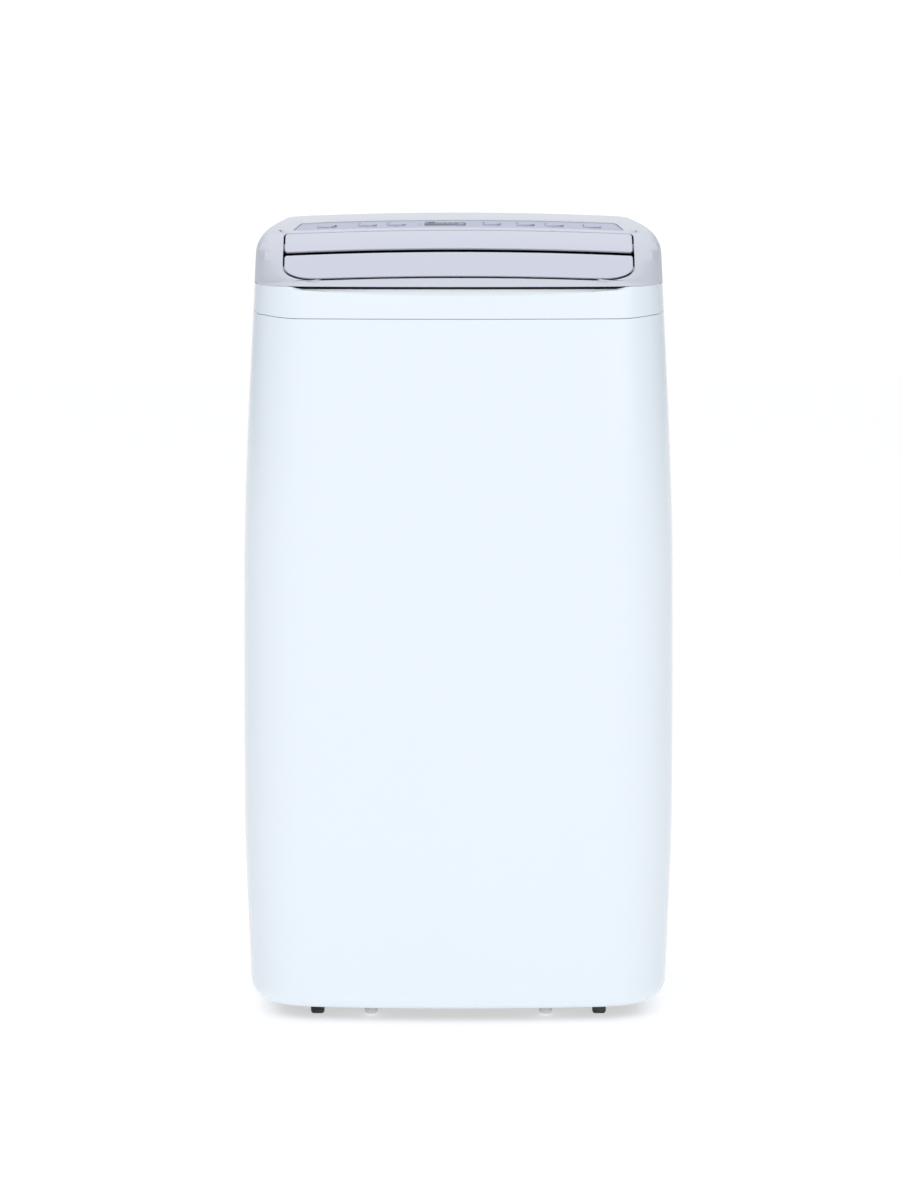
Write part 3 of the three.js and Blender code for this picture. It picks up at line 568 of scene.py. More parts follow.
# ---- Cabinet form ---------------------------------------------------------------------------
@dataclass
class CabinetForm:
    """Outline, taper and top of the cabinet, as functions that every panel shares."""

    half_width: float = 215.0
    half_depth: float = 185.0
    bow: float = 8.0
    front_round: float = 66.0
    rear_round: float = 40.0
    skirt_low: float = 13.0
    skirt_round: float = 22.0
    crown: float = 4.0
    top_bow: float = 5.0
    top: float = 781.0
    slope_centre: tuple[float, float] = (-66.6, 671.9)
    slope_radius: float = 119.0
    strip_line: tuple[float, float, float, float] = (-126.5, 774.1, -84.0, 780.0)
    shoulder: tuple[float, float] = (28.5, 27.0)

    def __post_init__(self) -> None:
        """Sample the outline evenly, smooth it, and keep its normals and polar radius."""
        w, f, rf, rr, b = self.half_width, self.half_depth, self.front_round, self.rear_round, self.bow
        k = 0.55
        right = np.vstack([
            bezier([(0, -f), ((w - rf) / 2, -f), (w - rf, -f + b)], 40),
            bezier([(w - rf, -f + b), (w - rf + rf * k, -f + b + 4), (w - 1.5, -f + rf - rf * k + 6),
                    (w - 1.5, -f + rf + 6)], 60),
            bezier([(w - 1.5, -f + rf + 6), (w + 1.5, 0), (w - 1.5, f - rr)], 40),
            bezier([(w - 1.5, f - rr), (w - 1.5, f - rr + rr * k), (w - rr + rr * k, f), (w - rr, f)], 40),
            bezier([(w - rr, f), ((w - rr) / 2, f), (0, f)], 30)])
        loop = np.vstack([right, [[0, f]], right[:0:-1] * [-1, 1]])
        n = 2048
        even = along(loop, np.arange(n) / n)
        length = float(np.linalg.norm(np.diff(np.vstack([even, even[:1]]), axis=0), axis=1).sum())
        wave = np.fft.fftfreq(n, d=length / n)
        soften = np.exp(-2.0 * (math.pi * 5.0 * wave) ** 2)[:, None]
        smooth = np.fft.ifft(np.fft.fft(even, axis=0) * soften, axis=0).real
        run = np.roll(smooth, -1, axis=0) - np.roll(smooth, 1, axis=0)
        run /= np.linalg.norm(run, axis=1)[:, None]
        self.length = length
        self.outline = smooth
        self.normal = np.stack([run[:, 1], -run[:, 0]], axis=1)
        polar = np.arctan2(smooth[:, 1], smooth[:, 0])
        radius = np.linalg.norm(smooth, axis=1)
        facing = (self.normal * smooth).sum(axis=1) / radius
        order = np.argsort(polar)
        self.polar, self.radius, self.facing = polar[order], radius[order], facing[order]

    def draw_in(self, z: Array) -> Array:
        """How far the sides taper at a height: a power law above 450 and below 200."""
        high = 10.5 * (np.maximum(z - 450.0, 0.0) / 295.0) ** 1.6
        low = 5.5 * (np.maximum(200.0 - z, 0.0) / 170.0) ** 1.3
        return high + low

    def slimness(self, y: Array, z: Array) -> Array:
        """How much further the sides alone stand in: more towards the top, nothing at the front."""
        return (3.0 + 4.0 * smoothstep(z, 250.0, 740.0)) * smoothstep(y, -178.0, -112.0)

    def rim(self, z: Array) -> Array:
        """Inset of the rounded bottom edge: a quarter circle."""
        r = self.skirt_round
        up = np.clip(z - self.skirt_low, 0.0, r)
        return r - np.sqrt(np.maximum(r * r - (r - up) ** 2, 0.0))

    def _pick(self, table: Array, s: Array) -> Array:
        """Read a per-outline table at arc lengths from the front's middle."""
        n = len(table)
        return np.interp(np.mod(s, self.length), np.arange(n + 1) * self.length / n,
                         np.concatenate([table, table[:1]]))

    def heading(self, s: Array) -> Array:
        """Angle of the outward normal from straight ahead, 0 at the front to 180 at the back."""
        return np.degrees(np.arccos(np.clip(-self._pick(self.normal[:, 1], s), -1.0, 1.0)))

    def facing_at(self, s: Array) -> Array:
        """Outward normals (.., 3) at arc lengths."""
        nx, ny = self._pick(self.normal[:, 0], s), self._pick(self.normal[:, 1], s)
        return np.stack([nx, ny, np.zeros_like(nx)], axis=-1)

    def wall(self, s: Array, z: Array, depth: Array | float = 0.0) -> Array:
        """Point of the side wall: the outline drawn in by the taper, then moved in along its normal.

        Args:
            s: arc length from the front's middle, positive to the right.
            z: height.
            depth: distance behind the outer face.

        Returns:
            Points (.., 3).
        """
        s, z = np.broadcast_arrays(np.asarray(s, float), np.asarray(z, float))
        x, y = self._pick(self.outline[:, 0], s), self._pick(self.outline[:, 1], s)
        t = self.draw_in(z)
        x = x * (1.0 - (t + self.slimness(y, z)) / self.half_width)
        y = np.where(y < 0, y * (1.0 - 0.6 * t / self.half_depth), y)
        inset = (self.rim(z) + depth)[..., None]
        return np.stack([x, y, z], axis=-1) - inset * self.facing_at(s)

    def arc_at(self, y: float, side: int = 1) -> float:
        """Arc length where the right (1) or left (-1) wall passes a depth y."""
        half = len(self.outline) // 2
        k = int(np.argmin(np.abs(self.outline[100:half - 100, 1] - y))) + 100
        return side * k * self.length / len(self.outline)

    def plan_distance(self, p: Array) -> Array:
        """Distance outside the tapered outline, from its polar radius."""
        t = self.draw_in(p[..., 2])
        y = np.where(p[..., 1] < 0, p[..., 1] / (1.0 - 0.6 * t / self.half_depth), p[..., 1])
        x = p[..., 0] / (1.0 - (t + self.slimness(y, p[..., 2])) / self.half_width)
        angle = np.arctan2(y, x)
        reach = np.interp(angle, self.polar, self.radius, period=2 * math.pi)
        lean = np.interp(angle, self.polar, self.facing, period=2 * math.pi)
        return (np.hypot(x, y) - reach) * lean

    def distance(self, p: Array) -> Array:
        """Distance outside the top: slope arc, control strip plane and rounded shoulder, filleted.

        The slope is a circle about an axis along X, the strip a plane, and the shoulder an ellipse
        between the outline and the top; all bend with the crown and the bow.
        """
        x = p[..., 0]
        sag = self.crown * (x / 170.0) ** 2
        y = p[..., 1] - self.top_bow * (x / 170.0) ** 2
        z = p[..., 2] + sag
        slope = np.hypot(np.minimum(y - self.slope_centre[0], 0.0),
                         np.maximum(z - self.slope_centre[1], 0.0)) - self.slope_radius
        y0, z0, y1, z1 = self.strip_line
        run = math.hypot(y1 - y0, z1 - z0)
        strip = ((z - z0) * (y1 - y0) - (y - y0) * (z1 - z0)) / run
        rx, rz = self.shoulder
        across = np.maximum(self.plan_distance(p) + rx, 0.0) / rx
        upward = np.maximum(z - (self.top - rz), 0.0) / rz
        shoulder = (np.hypot(across, upward) - 1.0) * rz
        return soft_max(slope, soft_max(strip, shoulder, 3.0), 4.0)

    def shoot(self, start: Array, way: Array, level: float = 0.0, reach: float = 260.0) -> Array:
        """First point along each ray where the top's distance equals a level, by halving."""
        start, way = np.broadcast_arrays(start, way)
        low = np.zeros(start.shape[:-1])
        high = np.full(start.shape[:-1], reach)
        for _ in range(34):
            mid = 0.5 * (low + high)
            out = self.distance(start + way * mid[..., None]) > level
            high = np.where(out, mid, high)
            low = np.where(out, low, mid)
        return start + way * (0.5 * (low + high))[..., None]

    def top_point(self, x: Array, y: Array, level: float = 0.0) -> Array:
        """Point of the top over a place, at a level above (or below) its face."""
        start = np.stack([x, y, np.full_like(x, 700.0)], axis=-1)
        return self.shoot(start, np.array([0.0, 0.0, 1.0]), level)

    def slope_point(self, x: Array, z: Array, level: float = 0.0) -> Array:
        """Point of the slope at a place of its front view."""
        start = np.stack([x, np.full_like(x, -60.0), z], axis=-1)
        return self.shoot(start, np.array([0.0, -1.0, 0.0]), level)


def line_up(stops: Sequence[float], step: float) -> Array:
    """Grid lines through given stops, with even steps between them."""
    parts = [np.linspace(a, b, max(2, int(round(abs(b - a) / step)) + 1))[:-1]
             for a, b in zip(stops[:-1], stops[1:])]
    return np.concatenate([*parts, [stops[-1]]])


@dataclass
class Cutout:
    """Opening in a panel: a block of grid cells, and the outline left inside it."""

    low: tuple[float, float]
    high: tuple[float, float]
    outline: Array
    bands: int = 5


def perimeter(index: Array, u: Array, v: Array, i0: int, i1: int, j0: int, j1: int) -> tuple[Array, Array]:
    """Indices round a block of grid cells, anticlockwise, with each one's fraction of the way round.

    Each side of the block takes a quarter of the way, shared by the distance along it.
    """
    sides = [(np.arange(i0, i1), np.full(i1 - i0, j0), u[i0:i1], u[i0], u[i1]),
             (np.full(j1 - j0, i1), np.arange(j0, j1), v[j0:j1], v[j0], v[j1]),
             (np.arange(i1, i0, -1), np.full(i1 - i0, j1), u[i1:i0:-1] if i0 else u[i1:0:-1], u[i1], u[i0]),
             (np.full(j1 - j0, i0), np.arange(j1, j0, -1), v[j1:j0:-1] if j0 else v[j1:0:-1], v[j1], v[j0])]
    ring, where = [], []
    for k, (a, b, at, first, last) in enumerate(sides):
        ring.append(index[a, b])
        where.append(0.25 * (k + (at - first) / (last - first)))
    return np.concatenate(ring), np.concatenate(where)


def panel(surface: Surface, u: Array, v: Array, place: Callable[[Array, Array], Array],
          cutouts: Sequence[Cutout] = ()) -> Array:
    """Grid a panel over two parameters and leave its openings free.

    Between an opening's outline and the block of cells round it, rings are drawn that go evenly from
    one to the other in the parameters, so they lie on the panel's own surface.

    Args:
        surface: where the patch goes.
        u: grid lines of the first parameter.
        v: grid lines of the second parameter.
        place: maps both parameters to points.
        cutouts: the openings.

    Returns:
        The grid's indices.
    """
    uu, vv = np.meshgrid(u, v, indexing="ij")
    index = surface.add(place(uu, vv))
    keep = np.ones((len(u) - 1, len(v) - 1), bool)
    for cut in cutouts:
        i0, i1 = (int(np.argmin(np.abs(u - value))) for value in (cut.low[0], cut.high[0]))
        j0, j1 = (int(np.argmin(np.abs(v - value))) for value in (cut.low[1], cut.high[1]))
        keep[i0:i1, j0:j1] = False
        ring, where = perimeter(index, u, v, i0, i1, j0, j1)
        outer = np.stack([uu.ravel()[ring - index[0, 0]], vv.ravel()[ring - index[0, 0]]], axis=1)
        inner = along(cut.outline, where)
        rings = [ring]
        for k in range(1, cut.bands + 1):
            w = (k / cut.bands) ** 0.8
            mix = outer * (1 - w) + inner * w
            rings.append(surface.add(place(mix[:, 0], mix[:, 1])))
        surface.rings(rings)
    surface.quads(index, keep=keep)
    return index


FORM = CabinetForm()


@dataclass
class CabinetPanels:
    """Front, side and back panels, one skin each with its wall."""

    seam_front: float = 688.0
    seam_corner: float = 691.0
    seam_side: float = 699.0
    side_y: float = -95.0
    back_y: float = 140.0
    gap: float = 0.22
    thickness: float = 2.6
    grip: tuple[float, float, float, float] = (20.0, 52.0, 588.0, 622.0)
    upper_grille: tuple[float, float, float] = (150.0, 474.0, 656.0)
    lower_grille: tuple[float, float, float] = (150.0, 78.0, 250.0)
    collar: tuple[float, float] = (375.0, 76.4)

    def seam(self, s: Array) -> Array:
        """Height of the seam under the top: level in front, higher past the corners."""
        a = FORM.heading(s)
        return (self.seam_front + (self.seam_corner - self.seam_front) * smoothstep(a, 12.0, 50.0)
                + (self.seam_side - self.seam_corner) * smoothstep(a, 48.0, 95.0))

    def _sheet(self, name: str, stops: Sequence[float], heights: Sequence[float], step: float,
               cutouts: Sequence[Cutout] = (), span: float = 28.0, columns: float = 4.0,
               segments: int = 3) -> bpy.types.Object:
        """Build one panel between two arc lengths.

        The height parameter runs to the front's seam, and its last part is stretched so that its end
        meets the seam wherever that is higher.

        Args:
            name: name of the piece.
            stops: arc lengths that the grid must pass through, from one edge to the other.
            heights: heights that the grid must pass through.
            step: height of a cell.
            cutouts: openings.
            span: length of the stretched part.
            columns: width of a cell.
            segments: steps in the rounded edges.

        Returns:
            The panel.
        """
        surface = Surface()
        top, start = self.seam_front, self.seam_front - span

        def place(s: Array, v: Array) -> Array:
            """Wall point, with the last part stretched up to the seam less its gap."""
            return FORM.wall(s, v + np.clip((v - start) / span, 0.0, 1.0) * (self.seam(s) - self.gap - top))

        rim = FORM.skirt_low + FORM.skirt_round * (1 - np.cos(np.linspace(0.0, math.pi / 2, 9)))
        v = np.concatenate([rim[:-1], line_up([rim[-1], *heights, start, top], step)])
        panel(surface, line_up(stops, columns), v, place, cutouts)
        piece = surface.build(name, False)
        thicken(piece, self.thickness)
        ease_edges(piece, 0.5, segments)
        return piece

    def build(self, wardrobe: Wardrobe) -> None:
        """Make all four panels."""
        a, b = FORM.arc_at(self.side_y), FORM.arc_at(self.back_y)
        half = FORM.length / 2
        g = self.gap / 2
        front = self._sheet("front_skin", [-a + g, 0.0, a - g], [110.0, 450.0], 18.0)
        wardrobe.dress(front, "chassis", Finish.SHELL, "front_panel")
        y, reach, z0, z1 = self.grip
        middle = FORM.arc_at(y)
        for side, name in ((1, "right"), (-1, "left")):
            c = middle * side
            lip = rounded_box(reach, (z1 - z0) / 2, 13.0) + [c, (z0 + z1) / 2]
            block = Cutout((c - reach - 16, z0 - 14), (c + reach + 16, z1 + 14), lip)
            ends = sorted([side * (a + g), side * (b - g)])
            stops = [ends[0], c - reach - 16, c + reach + 16, ends[1]]
            piece = self._sheet(f"{name}_skin", stops, [110.0, 450.0, z0 - 14, z1 + 14], 14.0, [block])
            wardrobe.dress(piece, "chassis", Finish.SHELL, f"{name}_panel")
        cuts = []
        for reach, z0, z1 in (self.upper_grille, self.lower_grille):
            path = rounded_box(reach + 1.0, (z1 - z0) / 2 + 1.0, 9.0) + [half, (z0 + z1) / 2]
            cuts.append(Cutout((half - reach - 8, z0 - 8), (half + reach + 8, z1 + 8), path, 3))
        z, r = self.collar
        turn = np.radians(np.linspace(0.0, 360.0, 96, endpoint=False) + 225.0)
        ring = np.stack([half + r * np.cos(turn), z + r * np.sin(turn)], axis=1)
        cuts.append(Cutout((half - 90, z - 90), (half + 90, z + 90), ring, 5))
        stops = [b + g, half - 158, half - 90, half + 90, half + 158, 2 * half - b - g]
        back = self._sheet("back_skin", stops, [70.0, 258.0, 285.0, 465.0, 466.0], 9.0, cuts, 24.0, 6.0, 2)
        wardrobe.dress(back, "chassis", Finish.SHELL, "back_panel")


@dataclass
class TopCover:
    """Chin, hood with its outlet opening and strip recess, and a dark sheet of painted shade in the gap
    between them.
    """

    panels: CabinetPanels
    crease_front: float = 718.6
    crease_side: float = 721.0
    start: float = 712.0
    ring_inset: float = 27.0
    ring_y: float = -128.8
    span: float = 168.0
    outlet_low: float = 726.8
    outlet_high: float = 771.3
    corner: tuple[float, float] = (33.0, 13.0)
    strip_half: tuple[float, float] = (159.4, 152.4)
    strip_y: tuple[float, float] = (-125.6, -83.6)
    smile_half: float = 162.5
    smile_depth: float = 3.6
    smile_gap: float = 2.3

    def crease(self, s: Array) -> Array:
        """Height of the crease under the slope."""
        rise = self.crease_side - self.crease_front
        return self.crease_front + rise * smoothstep(FORM.heading(s), 30.0, 95.0)

    def ring_start(self, s: Array) -> Array:
        """Start of the hood's rays: well behind the wall, and in front along the strip's edge."""
        point = FORM.wall(s, np.full_like(s, self.start), self.ring_inset)
        limit = self.ring_y + FORM.top_bow * (point[:, 0] / 170.0) ** 2
        point[:, 1] = np.maximum(point[:, 1], limit)
        return point

    def edge_point(self, s: Array, lift: float) -> Array:
        """Point of the hood's surface on the crease, moved up by `lift`."""
        z = self.crease(s) + lift
        start = FORM.wall(s, z, self.ring_inset)
        return FORM.shoot(start, FORM.facing_at(s))

    def outlet_edge(self) -> Array:
        """Outline of the outlet in front view: crowned edges, elliptical lower corners.

        It starts at the lower left and runs anticlockwise; quarters of its length stand for sides.
        """
        h = self.span
        cx, cz = self.corner
        u = np.linspace(-1.0, 1.0, 241)
        x = h * np.sin(u * math.pi / 2) * 0.35 + h * u * 0.65
        over = np.clip((np.abs(x) - (h - cx)) / cx, 0.0, 1.0)
        low = self.outlet_low + cz * (1 - np.sqrt(1 - over ** 2)) - FORM.crown * (x / 170.0) ** 2
        high = self.outlet_high - FORM.crown * (x / 170.0) ** 2
        soft = 2.0
        near = np.clip((np.abs(x) - (h - soft)) / soft, 0.0, 1.0)
        high = high - soft * (1 - np.sqrt(1 - near ** 2))
        bottom = np.stack([x, low], axis=1)
        top = np.stack([x[::-1], high[::-1]], axis=1)
        side = np.linspace(0.0, 1.0, 40)
        right = bottom[-1] * (1 - side[1:-1, None]) + top[0] * side[1:-1, None]
        left = top[-1] * (1 - side[1:-1, None]) + bottom[0] * side[1:-1, None]
        return [bottom[:-1], np.vstack([bottom[-1:], right]), top[:-1], np.vstack([top[-1:], left])]

    def hood(self) -> bpy.types.Object:
        """Build the hood: rays from a ring inside, turned from the crease to straight up.

        Each ray starts behind the wall by the ring's inset and its angle grows evenly from the
        crease's to a right angle. The outlet's surround goes evenly from the block of cells round
        it to its outline and is then put on the surface along rays from inside. The flat top goes
        evenly from the ring to the strip's recess, put on the surface from below.
        """
        surface = Surface()
        half = FORM.length / 2
        reach = float(np.interp(82.0, FORM.heading(np.linspace(0, half, 800)), np.linspace(0, half, 800)))
        s = line_up([-half, -reach, 0.0, reach, half], 4.2)[:-1]
        edge = self.edge_point(s, 0.1)
        origin = self.ring_start(s)
        out = FORM.facing_at(s)
        rise = np.arctan2(edge[:, 2] - self.start, ((edge - origin) * out).sum(axis=1))
        t = np.concatenate([[0.0, 0.012, 0.03], np.linspace(0.05, 1.0, 24)])
        angle = rise[:, None] + (math.pi / 2 - rise[:, None]) * t
        way = out[:, None, :] * np.cos(angle)[..., None] + np.array([0, 0, 1.0]) * np.sin(angle)[..., None]
        grid = FORM.shoot(origin[:, None, :], way)
        index = surface.add(grid)
        i0, i1 = int(np.argmin(np.abs(s + reach))), int(np.argmin(np.abs(s - reach)))
        j0, j1 = 3, len(t) - 1
        keep = np.ones((len(s), len(t) - 1), bool)
        keep[i0:i1, j0:j1] = False
        surface.quads(index, wrap_u=True, keep=keep)
        ring, where = perimeter(index, s, t, i0, i1, j0, j1)
        sides = self.outlet_edge()
        quarter = [where[(where >= k / 4) & (where < (k + 1) / 4)] * 4 - k for k in range(4)]
        hole = np.vstack([along(np.vstack([sides[k], sides[(k + 1) % 4][:1]]), quarter[k], False)
                          for k in range(4)])
        inner = FORM.slope_point(hole[:, 0], hole[:, 1])
        outer = grid.reshape(-1, 3)[ring]
        rings = [ring]
        for w in (0.2, 0.4, 0.6, 0.8, 1.0):
            mix = outer * (1 - w) + inner * w
            if w < 1.0:
                hub = np.stack([np.clip(mix[:, 0], -125, 125), np.full(len(mix), -62.0),
                                np.full(len(mix), 690.0)], axis=1)
                mix = FORM.shoot(hub, mix - hub, 0.0, 3.0)
            rings.append(surface.add(mix))
        surface.rings(rings)
        self._cap(surface, index[:, -1], grid[:, -1])
        piece = surface.build("top_hood", False)
        thicken(piece, 1.5)
        ease_edges(piece, 0.5, 3)
        return piece

    def _cap(self, surface: Surface, ring: Array, points: Array) -> None:
        """Fill the top from the hood's ring to the edge of the strip's recess.

        Each ring point goes straight towards the strip's middle and meets the recess on the way; the
        points nearest the recess's corners are put on them.

        Args:
            surface: where it goes.
            ring: indices of the hood's last ring.
            points: the ring's points.
        """
        y0, y1 = self.strip_y
        h0, h1 = self.strip_half
        corners = [(-h0, y0), (h0, y0), (h1, y1), (-h1, y1)]
        sides = []
        for k in range(4):
            a, b = np.array(corners[k]), np.array(corners[(k + 1) % 4])
            run = np.linspace(0.0, 1.0, 90)[:, None]
            cut = 2.4 / np.linalg.norm(b - a)
            sides.append(a + (b - a) * (cut + run * (1 - 2 * cut)))
        path = [side + np.stack([np.zeros(len(side)), FORM.top_bow * (side[:, 0] / 170.0) ** 2], axis=1)
                for side in sides]
        loop = np.vstack(path)
        hub = np.array([0.0, (y0 + y1) / 2 + 1.0])
        aim = np.unwrap(np.arctan2(points[:, 1] - hub[1], points[:, 0]))
        seen = np.unwrap(np.arctan2(loop[:, 1] - hub[1], loop[:, 0]))
        order = np.argsort(np.mod(seen, 2 * math.pi))
        turn = np.mod(seen, 2 * math.pi)[order]
        loop = loop[order]
        inner = np.stack([np.interp(np.mod(aim, 2 * math.pi), turn, loop[:, k], period=2 * math.pi)
                          for k in range(2)], axis=1)
        for side in path:
            for corner in (side[0], side[-1]):
                way = math.atan2(corner[1] - hub[1], corner[0])
                near = np.abs(np.mod(aim - way + math.pi, 2 * math.pi) - math.pi)
                inner[int(np.argmin(near))] = corner
        rings = [ring]
        for w in (0.06, 0.13, 0.22, 0.32, 0.44, 0.56, 0.68, 0.8, 1.0):
            flat = points[:, :2] * (1 - w) + inner * w
            rings.append(surface.add(FORM.top_point(flat[:, 0], flat[:, 1])))
        surface.rings(rings)

    def smile(self, x: Array) -> tuple[Array, Array]:
        """Height and strength of the crescent recess at a place across the front."""
        k = np.clip(1.0 - (x / self.smile_half) ** 2, 0.0, 1.0)
        return 2.6 + 6.2 * k, smoothstep(k, 0.0, 0.16)

    def chin(self) -> bpy.types.Object:
        """Build the band under the slope.

        It runs from the wall's face at the seam to the hood's edge at the crease, and in front its
        upper part falls back evenly to form the crescent.
        """
        surface = Surface()
        half = FORM.length / 2
        s = line_up([-half, 0.0, half], 4.0)[:-1]
        low = self.panels.seam(s) + self.panels.gap
        top = self.crease(s)
        edge = self.edge_point(s, -0.1)
        behind = ((FORM.wall(s, top) - edge) * FORM.facing_at(s)).sum(axis=1)
        height, strength = self.smile(edge[:, 0])
        upper = top - 0.12 - self.smile_gap * strength
        brow = top - height
        a = np.concatenate([[0.0, 0.03], np.linspace(0.1, 0.9, 8), [0.96, 1.0]])
        b = np.array([0.08, 0.3, 0.6, 1.0])
        z = np.concatenate([low[:, None] + (brow - low)[:, None] * a,
                            brow[:, None] + (upper - brow)[:, None] * b], axis=1)
        depth = behind[:, None] * np.clip((z - low[:, None]) / (top - low)[:, None], 0, 1) ** 1.5
        fall = np.clip((z - brow[:, None]) / (upper - brow)[:, None], 0.0, 1.0)
        depth = depth + self.smile_depth * strength[:, None] * fall
        index = surface.add(FORM.wall(s[:, None], z, depth))
        surface.quads(index, wrap_u=True)
        piece = surface.build("chin_band", False)
        thicken(piece, 2.2)
        ease_edges(piece, 0.4, 3)
        return piece

    def shadow_line(self) -> bpy.types.Object:
        """Build a dark sheet behind the crescent's upper gap: painted shade that keeps the gap dark."""
        surface = Surface()
        s = np.linspace(-190.0, 190.0, 96)
        z = self.crease(s)[:, None] + np.array([-7.0, -3.0, 1.0, 4.0])
        index = surface.add(FORM.wall(s[:, None], z, 9.0))
        surface.quads(index)
        piece = surface.build("painted_shade_strip", False)
        thicken(piece, 1.0)
        return piece

    def build(self, wardrobe: Wardrobe) -> None:
        """Make the cover's pieces."""
        wardrobe.dress(self.hood(), "chassis", Finish.COVER, "top_cover")
        wardrobe.dress(self.chin(), "chassis", Finish.SHELL)
        # The dark sheet is painted shade behind the crescent's gap, in the duct's matt black.
        wardrobe.dress(self.shadow_line(), "chassis", Finish.DUCT)


# ---- Outlet ---------------------------------------------------------------------------------
@dataclass
class OutletLouvres:
    """The two tilting blades with their end plates, pins and cranks, and the duct behind them."""

    half: float = 166.5
    lower: tuple[float, float] = (728.8, 751.0)
    upper: tuple[float, float] = (754.5, 770.75)
    corner: tuple[float, float] = (32.0, 12.0)
    recess: float = 0.5
    thickness: float = 2.8

    def _edges(self, x: Array, low: float, high: float, rounded: bool) -> tuple[Array, Array]:
        """Lower and upper edge heights: crowned, with elliptical ends where rounded."""
        sag = FORM.crown * (x / 170.0) ** 2
        cx, cz = self.corner if rounded else (1.6, 1.6)
        over = np.clip((np.abs(x) - (self.half - cx)) / cx, 0.0, 1.0)
        near = np.clip((np.abs(x) - (self.half - 1.6)) / 1.6, 0.0, 1.0)
        return (low + cz * (1 - np.sqrt(1 - over ** 2)) - sag,
                high - 1.6 * (1 - np.sqrt(1 - near ** 2)) - sag)

    def blade(self, name: str, low: float, high: float, rounded: bool) -> bpy.types.Object:
        """Build a blade: the slope's own surface set back a little, between its two edges."""
        surface = Surface()
        u = np.linspace(-1.0, 1.0, 141)
        x = self.half * (0.6 * u + 0.4 * np.sin(u * math.pi / 2))
        a, b = self._edges(x, low, high, rounded)
        v = np.linspace(0.0, 1.0, 13)
        z = a[:, None] * (1 - v) + b[:, None] * v
        surface.quads(surface.add(FORM.slope_point(np.broadcast_to(x[:, None], z.shape), z, -self.recess)))
        piece = surface.build(name, False)
        thicken(piece, self.thickness)
        ease_edges(piece, 0.8, 3)
        return piece

    def hardware(self, name: str, pivot: Array) -> bpy.types.Object:
        """Build a blade's two stepped pins, its crank and the crank's stud, as turned solids."""
        surface = Surface()
        for side in (-1, 1):
            profile = [(4.2, 158.0), (4.2, 167.6), (3.8, 168.2), (2.0, 168.4), (2.0, 175.4), (1.5, 176.0)]
            grid = lathe(profile, (0.0, pivot[1], pivot[2]), "x", 20)
            surface.solid_rings(grid * [side, 1, 1])
        path = rounded_box(5.7, 2.1, 2.0, 6)
        rings = [np.stack([np.full(len(path), x), path[:, 0] * k + pivot[1] + 4.6, path[:, 1] * k + pivot[2]],
                          axis=1) for x, k in ((-175.7, 0.9), (-176.0, 1.0), (-178.0, 1.0), (-178.3, 0.9))]
        surface.solid_rings(np.stack(rings))
        stud = lathe([(1.55, -182.3), (1.6, -182.0), (1.6, -178.0)], (0.0, pivot[1] + 9.0, pivot[2]), "x", 14)
        surface.solid_rings(stud)
        return surface.build(name, True)

    def build(self, wardrobe: Wardrobe) -> None:
        """Make both blades and dress the duct, fins and linkage."""
        for name, (low, high), rounded, joint in (("lower", self.lower, True, "louvre_tilt"),
                                                  ("upper", self.upper, False, "upper_louvre_tilt")):
            body = f"{name}_louvre"
            blade = self.blade(f"{name}_blade", low, high, rounded)
            wardrobe.dress(blade, body, Finish.LOUVRE, f"louvre_{name}")
            at = next(j["pos_m"] for j in frame["record"]["behaviour"]["joints"] if j["name"] == joint)
            pivot = np.array(at) / MM - [0.0, SHIFT_Y, 0.0]
            wardrobe.dress(self.hardware(f"{name}_blade_pins", pivot), body, Finish.LOUVRE)
        wardrobe.carry("outlet_duct", Finish.DUCT)
        wardrobe.carry("louvre_link", Finish.DUCT, 0.4)
        wardrobe.carry("louvre_motor", Finish.STEEL, 0.4)
        wardrobe.carry("fin_link", Finish.DUCT, 0.4)
        for k in range(1, 6):
            wardrobe.carry(f"swing_fin_{k}", Finish.DUCT, 0.3)


# ---- Control strip --------------------------------------------------------------------------
class Sign(Enum):
    """Generic signs beside the keys."""

    POWER = "ring and bar"
    FAN = "three blades"
    UP = "upward arrow"
    DOWN = "downward arrow"
    CLOCK = "clock face"
    FLAKE = "six arms"
    DROP = "drop"
    SWING = "two bows"


def strokes(sign: Sign) -> list[Array]:
    """Centre lines of a sign, on a square about 1 unit either side of the origin."""
    turn = np.linspace(0.0, 2 * math.pi, 25)
    ring = np.stack([np.cos(turn), np.sin(turn)], axis=1)
    if sign is Sign.POWER:
        quarter_turn = np.array([[0.0, -1.0], [1.0, 0.0]])
        return [ring[2:-2] @ quarter_turn * 0.85 * [1, -1], np.array([[0, 0.2], [0, 1.0]])]
    if sign is Sign.FAN:
        leaf = np.stack([np.sin(turn / 2) * 0.32, 0.1 + 0.42 * (1 - np.cos(turn / 2 * 1.0)) * 1.0], axis=1)
        spin = [math.radians(a) for a in (0, 120, 240)]
        return [leaf @ np.array([[math.cos(a), math.sin(a)], [-math.sin(a), math.cos(a)]]) for a in spin]
    if sign is Sign.UP:
        return [np.array([[-0.8, -0.4], [0, 0.5], [0.8, -0.4]])]
    if sign is Sign.DOWN:
        return [np.array([[-0.8, 0.4], [0, -0.5], [0.8, 0.4]])]
    if sign is Sign.CLOCK:
        return [ring * 0.85, np.array([[0, 0.5], [0, 0], [0.4, 0]])]
    if sign is Sign.FLAKE:
        arms = [math.radians(a) for a in (30, 90, 150)]
        return [np.array([[-math.cos(a), -math.sin(a)], [math.cos(a), math.sin(a)]]) * 0.95 for a in arms]
    if sign is Sign.DROP:
        low = ring[12:25] * 0.55 - [0, 0.25]
        return [np.vstack([low, [[0, 0.95]], low[:1]])]
    bow = np.stack([np.linspace(-0.9, 0.9, 12), 0.35 * np.cos(np.linspace(-1.4, 1.4, 12))], axis=1)
    return [bow, bow - [0, 0.6]]


